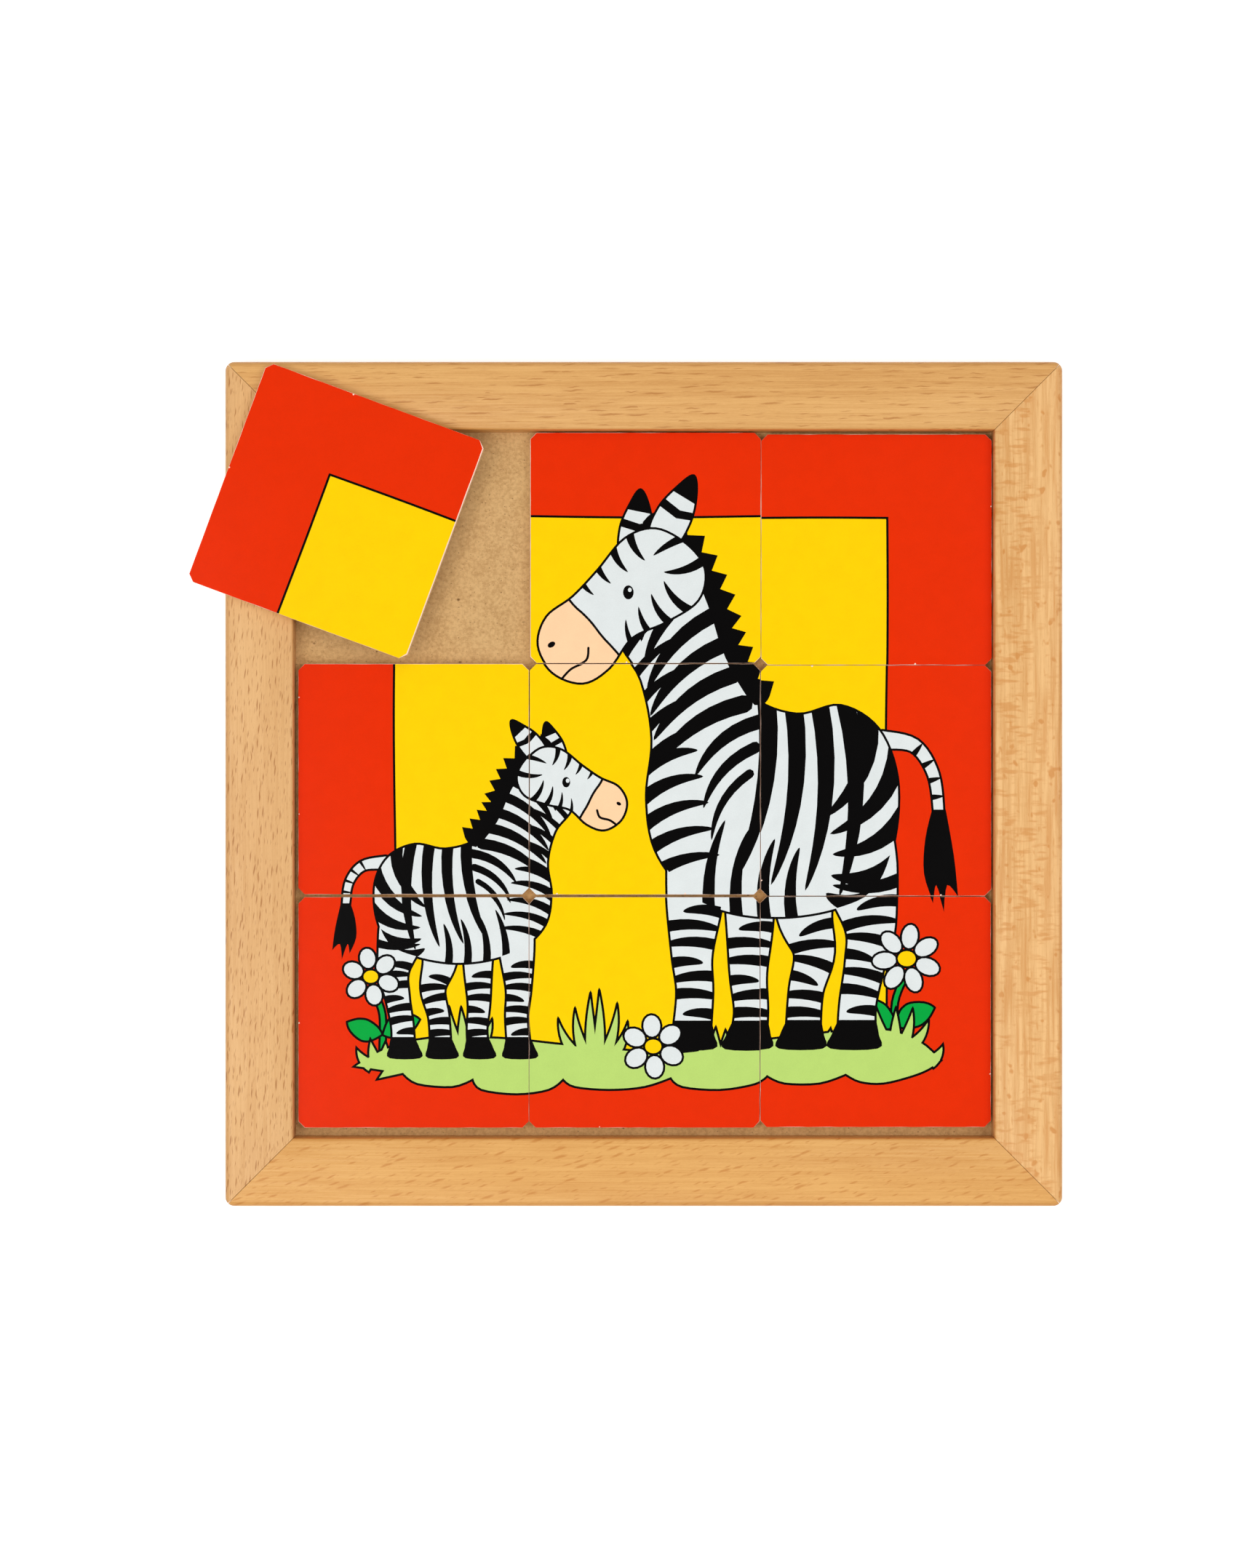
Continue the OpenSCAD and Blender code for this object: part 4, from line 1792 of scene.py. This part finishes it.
@dataclass
class Tray:
    """The tray: four rails, the panel and the fasteners that hold them.

    Args:
        rebate_width: Width of the rebate under each rail's inner edge.
    """

    rebate_width: float = 6 * MM

    # The finish of each rail, as if each were cut from another place in the wood
    RAILS = {
        Side.LEFT: BeechFinish(
            "beech left rail", shade(226, 176, 115), shade(210, 156, 95), shade(170, 109, 45),
            grain_turn=90, slant=4, move=(11, 3, 0), cover=1.1, strength=0.85, pitch=(4.8, 1.55),
            width=0.46, growth=0.16),
        Side.BOTTOM: BeechFinish(
            "beech bottom rail", shade(227, 170, 93), shade(209, 146, 68), shade(194, 122, 38),
            slant=-18, move=(130, 47, 0), cover=0.8, strength=0.66, pitch=(5.8, 2.7),
            width=0.8, growth=0.3),
        Side.TOP: BeechFinish(
            "beech top rail", shade(226, 172, 100), shade(205, 146, 74), shade(178, 113, 38),
            slant=-2, move=(310, 91, 0), cover=0.8, strength=0.75, pitch=(10.0, 2.3),
            width=0.62, growth=0.42),
        Side.RIGHT: BeechFinish(
            "beech right rail", shade(232, 181, 116), shade(214, 156, 88), shade(206, 133, 52),
            grain_turn=90, slant=-3, move=(523, 12, 0), cover=0.4, strength=0.45, pitch=(4.5, 3.2),
            width=0.7, growth=0.2, figure=0.85),
    }

    def build(self, effects: Effects) -> None:
        """Builds the rails and dresses the parts that keep their CAD shape.

        Args:
            effects: The shared shader effects.
        """
        low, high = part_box("left_rail")
        inner_x, inner_y = -high.x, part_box("top_rail")[0].y
        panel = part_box("base_panel")[1].z
        moulding = Moulding(high.x - low.x, high.z, self.rebate_width, panel)
        tree = moulding.tree()
        for side, finish in self.RAILS.items():
            upright = side in (Side.LEFT, Side.RIGHT)
            across, along = (inner_x, inner_y) if upright else (inner_y, inner_x)
            beech = finish.material(effects, (across + moulding.width) / MM, moulding.width / MM)
            moulding.rail(tree, side, across, along, beech)
        self.dress("base_panel", BoardFinish().material(effects))
        steel = SteelFinish().material(effects)
        for node in ("corner_v_nails", "panel_pins"):
            self.dress(node, steel)

    @staticmethod
    def dress(node: str, material: Material) -> None:
        """Gives a part that keeps its CAD shape its material.

        Args:
            node: The CAD node.
            material: The material.
        """
        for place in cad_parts[node].material_slots:
            place.material = material
        log.info("%s: keeps its CAD shape, dressed in %s", node, material.name)


@dataclass
class TileSet:
    """The nine tiles and their picture.

    Args:
        turned: The turn of each tile that lies askew, in degrees anticlockwise.
        worn: The edges of tiles that show more of the sheet's ground, as in Tile.
    """

    turned: dict[str, float] = field(default_factory=lambda: {"top_left": -20.3})
    worn: dict[str, tuple] = field(default_factory=lambda: {
        "top_left": (0.26, 0, 0.03, 0), "top_middle": (0, 0, 0.09, 0), "middle_left": (0, 0.05, 0, 0)})

    CELLS = ("top_left", "top_middle", "top_right",
             "middle_left", "centre", "middle_right",
             "bottom_left", "bottom_middle", "bottom_right")

    def build(self, effects: Effects) -> None:
        """Builds every tile's board and printed sheet.

        Args:
            effects: The shared shader effects.
        """
        low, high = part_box("centre_tile_board")
        side = (high.x - low.x) / MM
        outer = VeneerFinish("outer ply", shade(240, 216, 176), shade(218, 184, 136), 0)
        core = VeneerFinish("core ply", shade(226, 188, 138), shade(200, 156, 104), 90)
        plies = [outer.material(effects), core.material(effects)]
        inks = {ink: InkFinish(ink).material(effects) for ink in Ink}
        patches = Picture().draw()
        log.info("picture: %d patches", len(patches))
        for i, cell in enumerate(self.CELLS):
            worn = self.worn.get(cell, (0, 0, 0, 0))
            tile = Tile(cell, i % 3, i // 3, side, self.turned.get(cell, 0.0), worn=worn)
            tile.board(plies)
            tile.sheet(patches, inks)


@dataclass(frozen=True)
class SoftLight:
    """One square soft light.

    Args:
        name: Its name.
        place: Where it hangs.
        side: Its side.
        power: Its power in watts.
    """

    name: str
    place: Place
    side: float
    power: float


@dataclass
class Studio:
    """The floor, the soft lights and the camera.

    Args:
        distance: From the lens to the tiles' upper faces.
        aside: How far the camera's axis lies to the right of the tray's middle.
        long_side: Length of the tiles' plane that the image's long side takes in.
        sensor: The sensor's long side in millimetres.
        floor_side: The floor's side.
        floor_glow: The strength of the floor's own light, which keeps it white round the tray.
        horizon: The room's colour up to a little above the horizon.
        overhead: Its colour overhead.
    """

    distance: float = 1.0
    aside: float = -0.0056
    long_side: float = 0.5396
    sensor: float = 36.0
    floor_side: float = 12.0
    floor_glow: float = 0.35
    horizon: Colour = (0.62, 0.63, 0.64, 1)
    overhead: Colour = (0.40, 0.40, 0.40, 1)

    LIGHTS = (
        SoftLight("left", (-0.64, -0.14, 1.25), 0.6, 5.2),
        SoftLight("right", (0.72, 0.05, 1.25), 0.6, 4.4),
        SoftLight("near", (-0.10, -0.70, 1.25), 0.6, 4.0),
        SoftLight("far", (0.05, 0.76, 1.25), 0.6, 1.7),
    )

    def build(self) -> None:
        """Sets up the whole studio."""
        self.floor()
        self.lamps()
        self.surroundings()
        self.camera()
        bpy.context.scene.view_settings.view_transform = "Standard"

    def floor(self) -> None:
        """Lays the pale floor that the tray lies on."""
        half = self.floor_side / 2
        corners = [(-half, -half, 0), (half, -half, 0), (half, half, 0), (-half, half, 0)]
        mesh = bpy.data.meshes.new("floor")
        mesh.from_pydata(corners, [], [(0, 1, 2, 3)])
        dress = Dresser("floor", 0.9, 0.1)
        dress.shader.inputs["Base Color"].default_value = (0.96, 0.96, 0.96, 1)
        dress.shader.inputs["Emission Color"].default_value = (1, 1, 1, 1)
        dress.shader.inputs["Emission Strength"].default_value = self.floor_glow
        mesh.materials.append(dress.material)
        floor = bpy.data.objects.new("floor", mesh)
        bpy.context.scene.collection.objects.link(floor)

    def lamps(self) -> None:
        """Hangs the square soft lights, each turned towards the tray."""
        for soft in self.LIGHTS:
            light = bpy.data.lights.new(f"{soft.name} light", "AREA")
            light.size = soft.side
            light.energy = soft.power
            lamp = bpy.data.objects.new(light.name, light)
            lamp.location = soft.place
            lamp.rotation_euler = Vector(soft.place).to_track_quat("Z", "Y").to_euler()
            bpy.context.scene.collection.objects.link(lamp)

    def surroundings(self) -> None:
        """Lights the room softly, pale near the horizon and dark overhead."""
        world = bpy.data.worlds.new("room")
        world.use_nodes = True
        world.node_tree.nodes.clear()
        n = Nodes(world.node_tree)
        way = n.add("ShaderNodeTexCoord").outputs["Generated"]
        height = n.add("ShaderNodeSeparateXYZ", {0: way}).outputs[2]
        colour = n.mix(n.ramp(height, 0.25, 0.75), self.horizon, self.overhead)
        back = n.add("ShaderNodeBackground", {"Color": colour, "Strength": 1.0})
        out = n.add("ShaderNodeOutputWorld")
        n.join(back.outputs[0], out.inputs[0])
        bpy.context.scene.world = world

    def camera(self) -> None:
        """Hangs the camera straight above the tray."""
        data = bpy.data.cameras.new("camera")
        data.sensor_width = self.sensor
        data.lens = self.sensor * self.distance / self.long_side
        camera = bpy.data.objects.new("camera", data)
        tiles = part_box("centre_tile_print")[1].z
        camera.location = (self.aside, 0.0, tiles + self.distance)
        bpy.context.scene.collection.objects.link(camera)
        bpy.context.scene.camera = camera


def main() -> None:
    """Builds the studio, the tray and the tiles."""
    logging.basicConfig(level=logging.INFO, format="%(name)s: %(message)s")
    effects = Effects()
    Studio().build()
    Tray().build(effects)
    TileSet().build(effects)


if __name__ == "__main__":
    main()
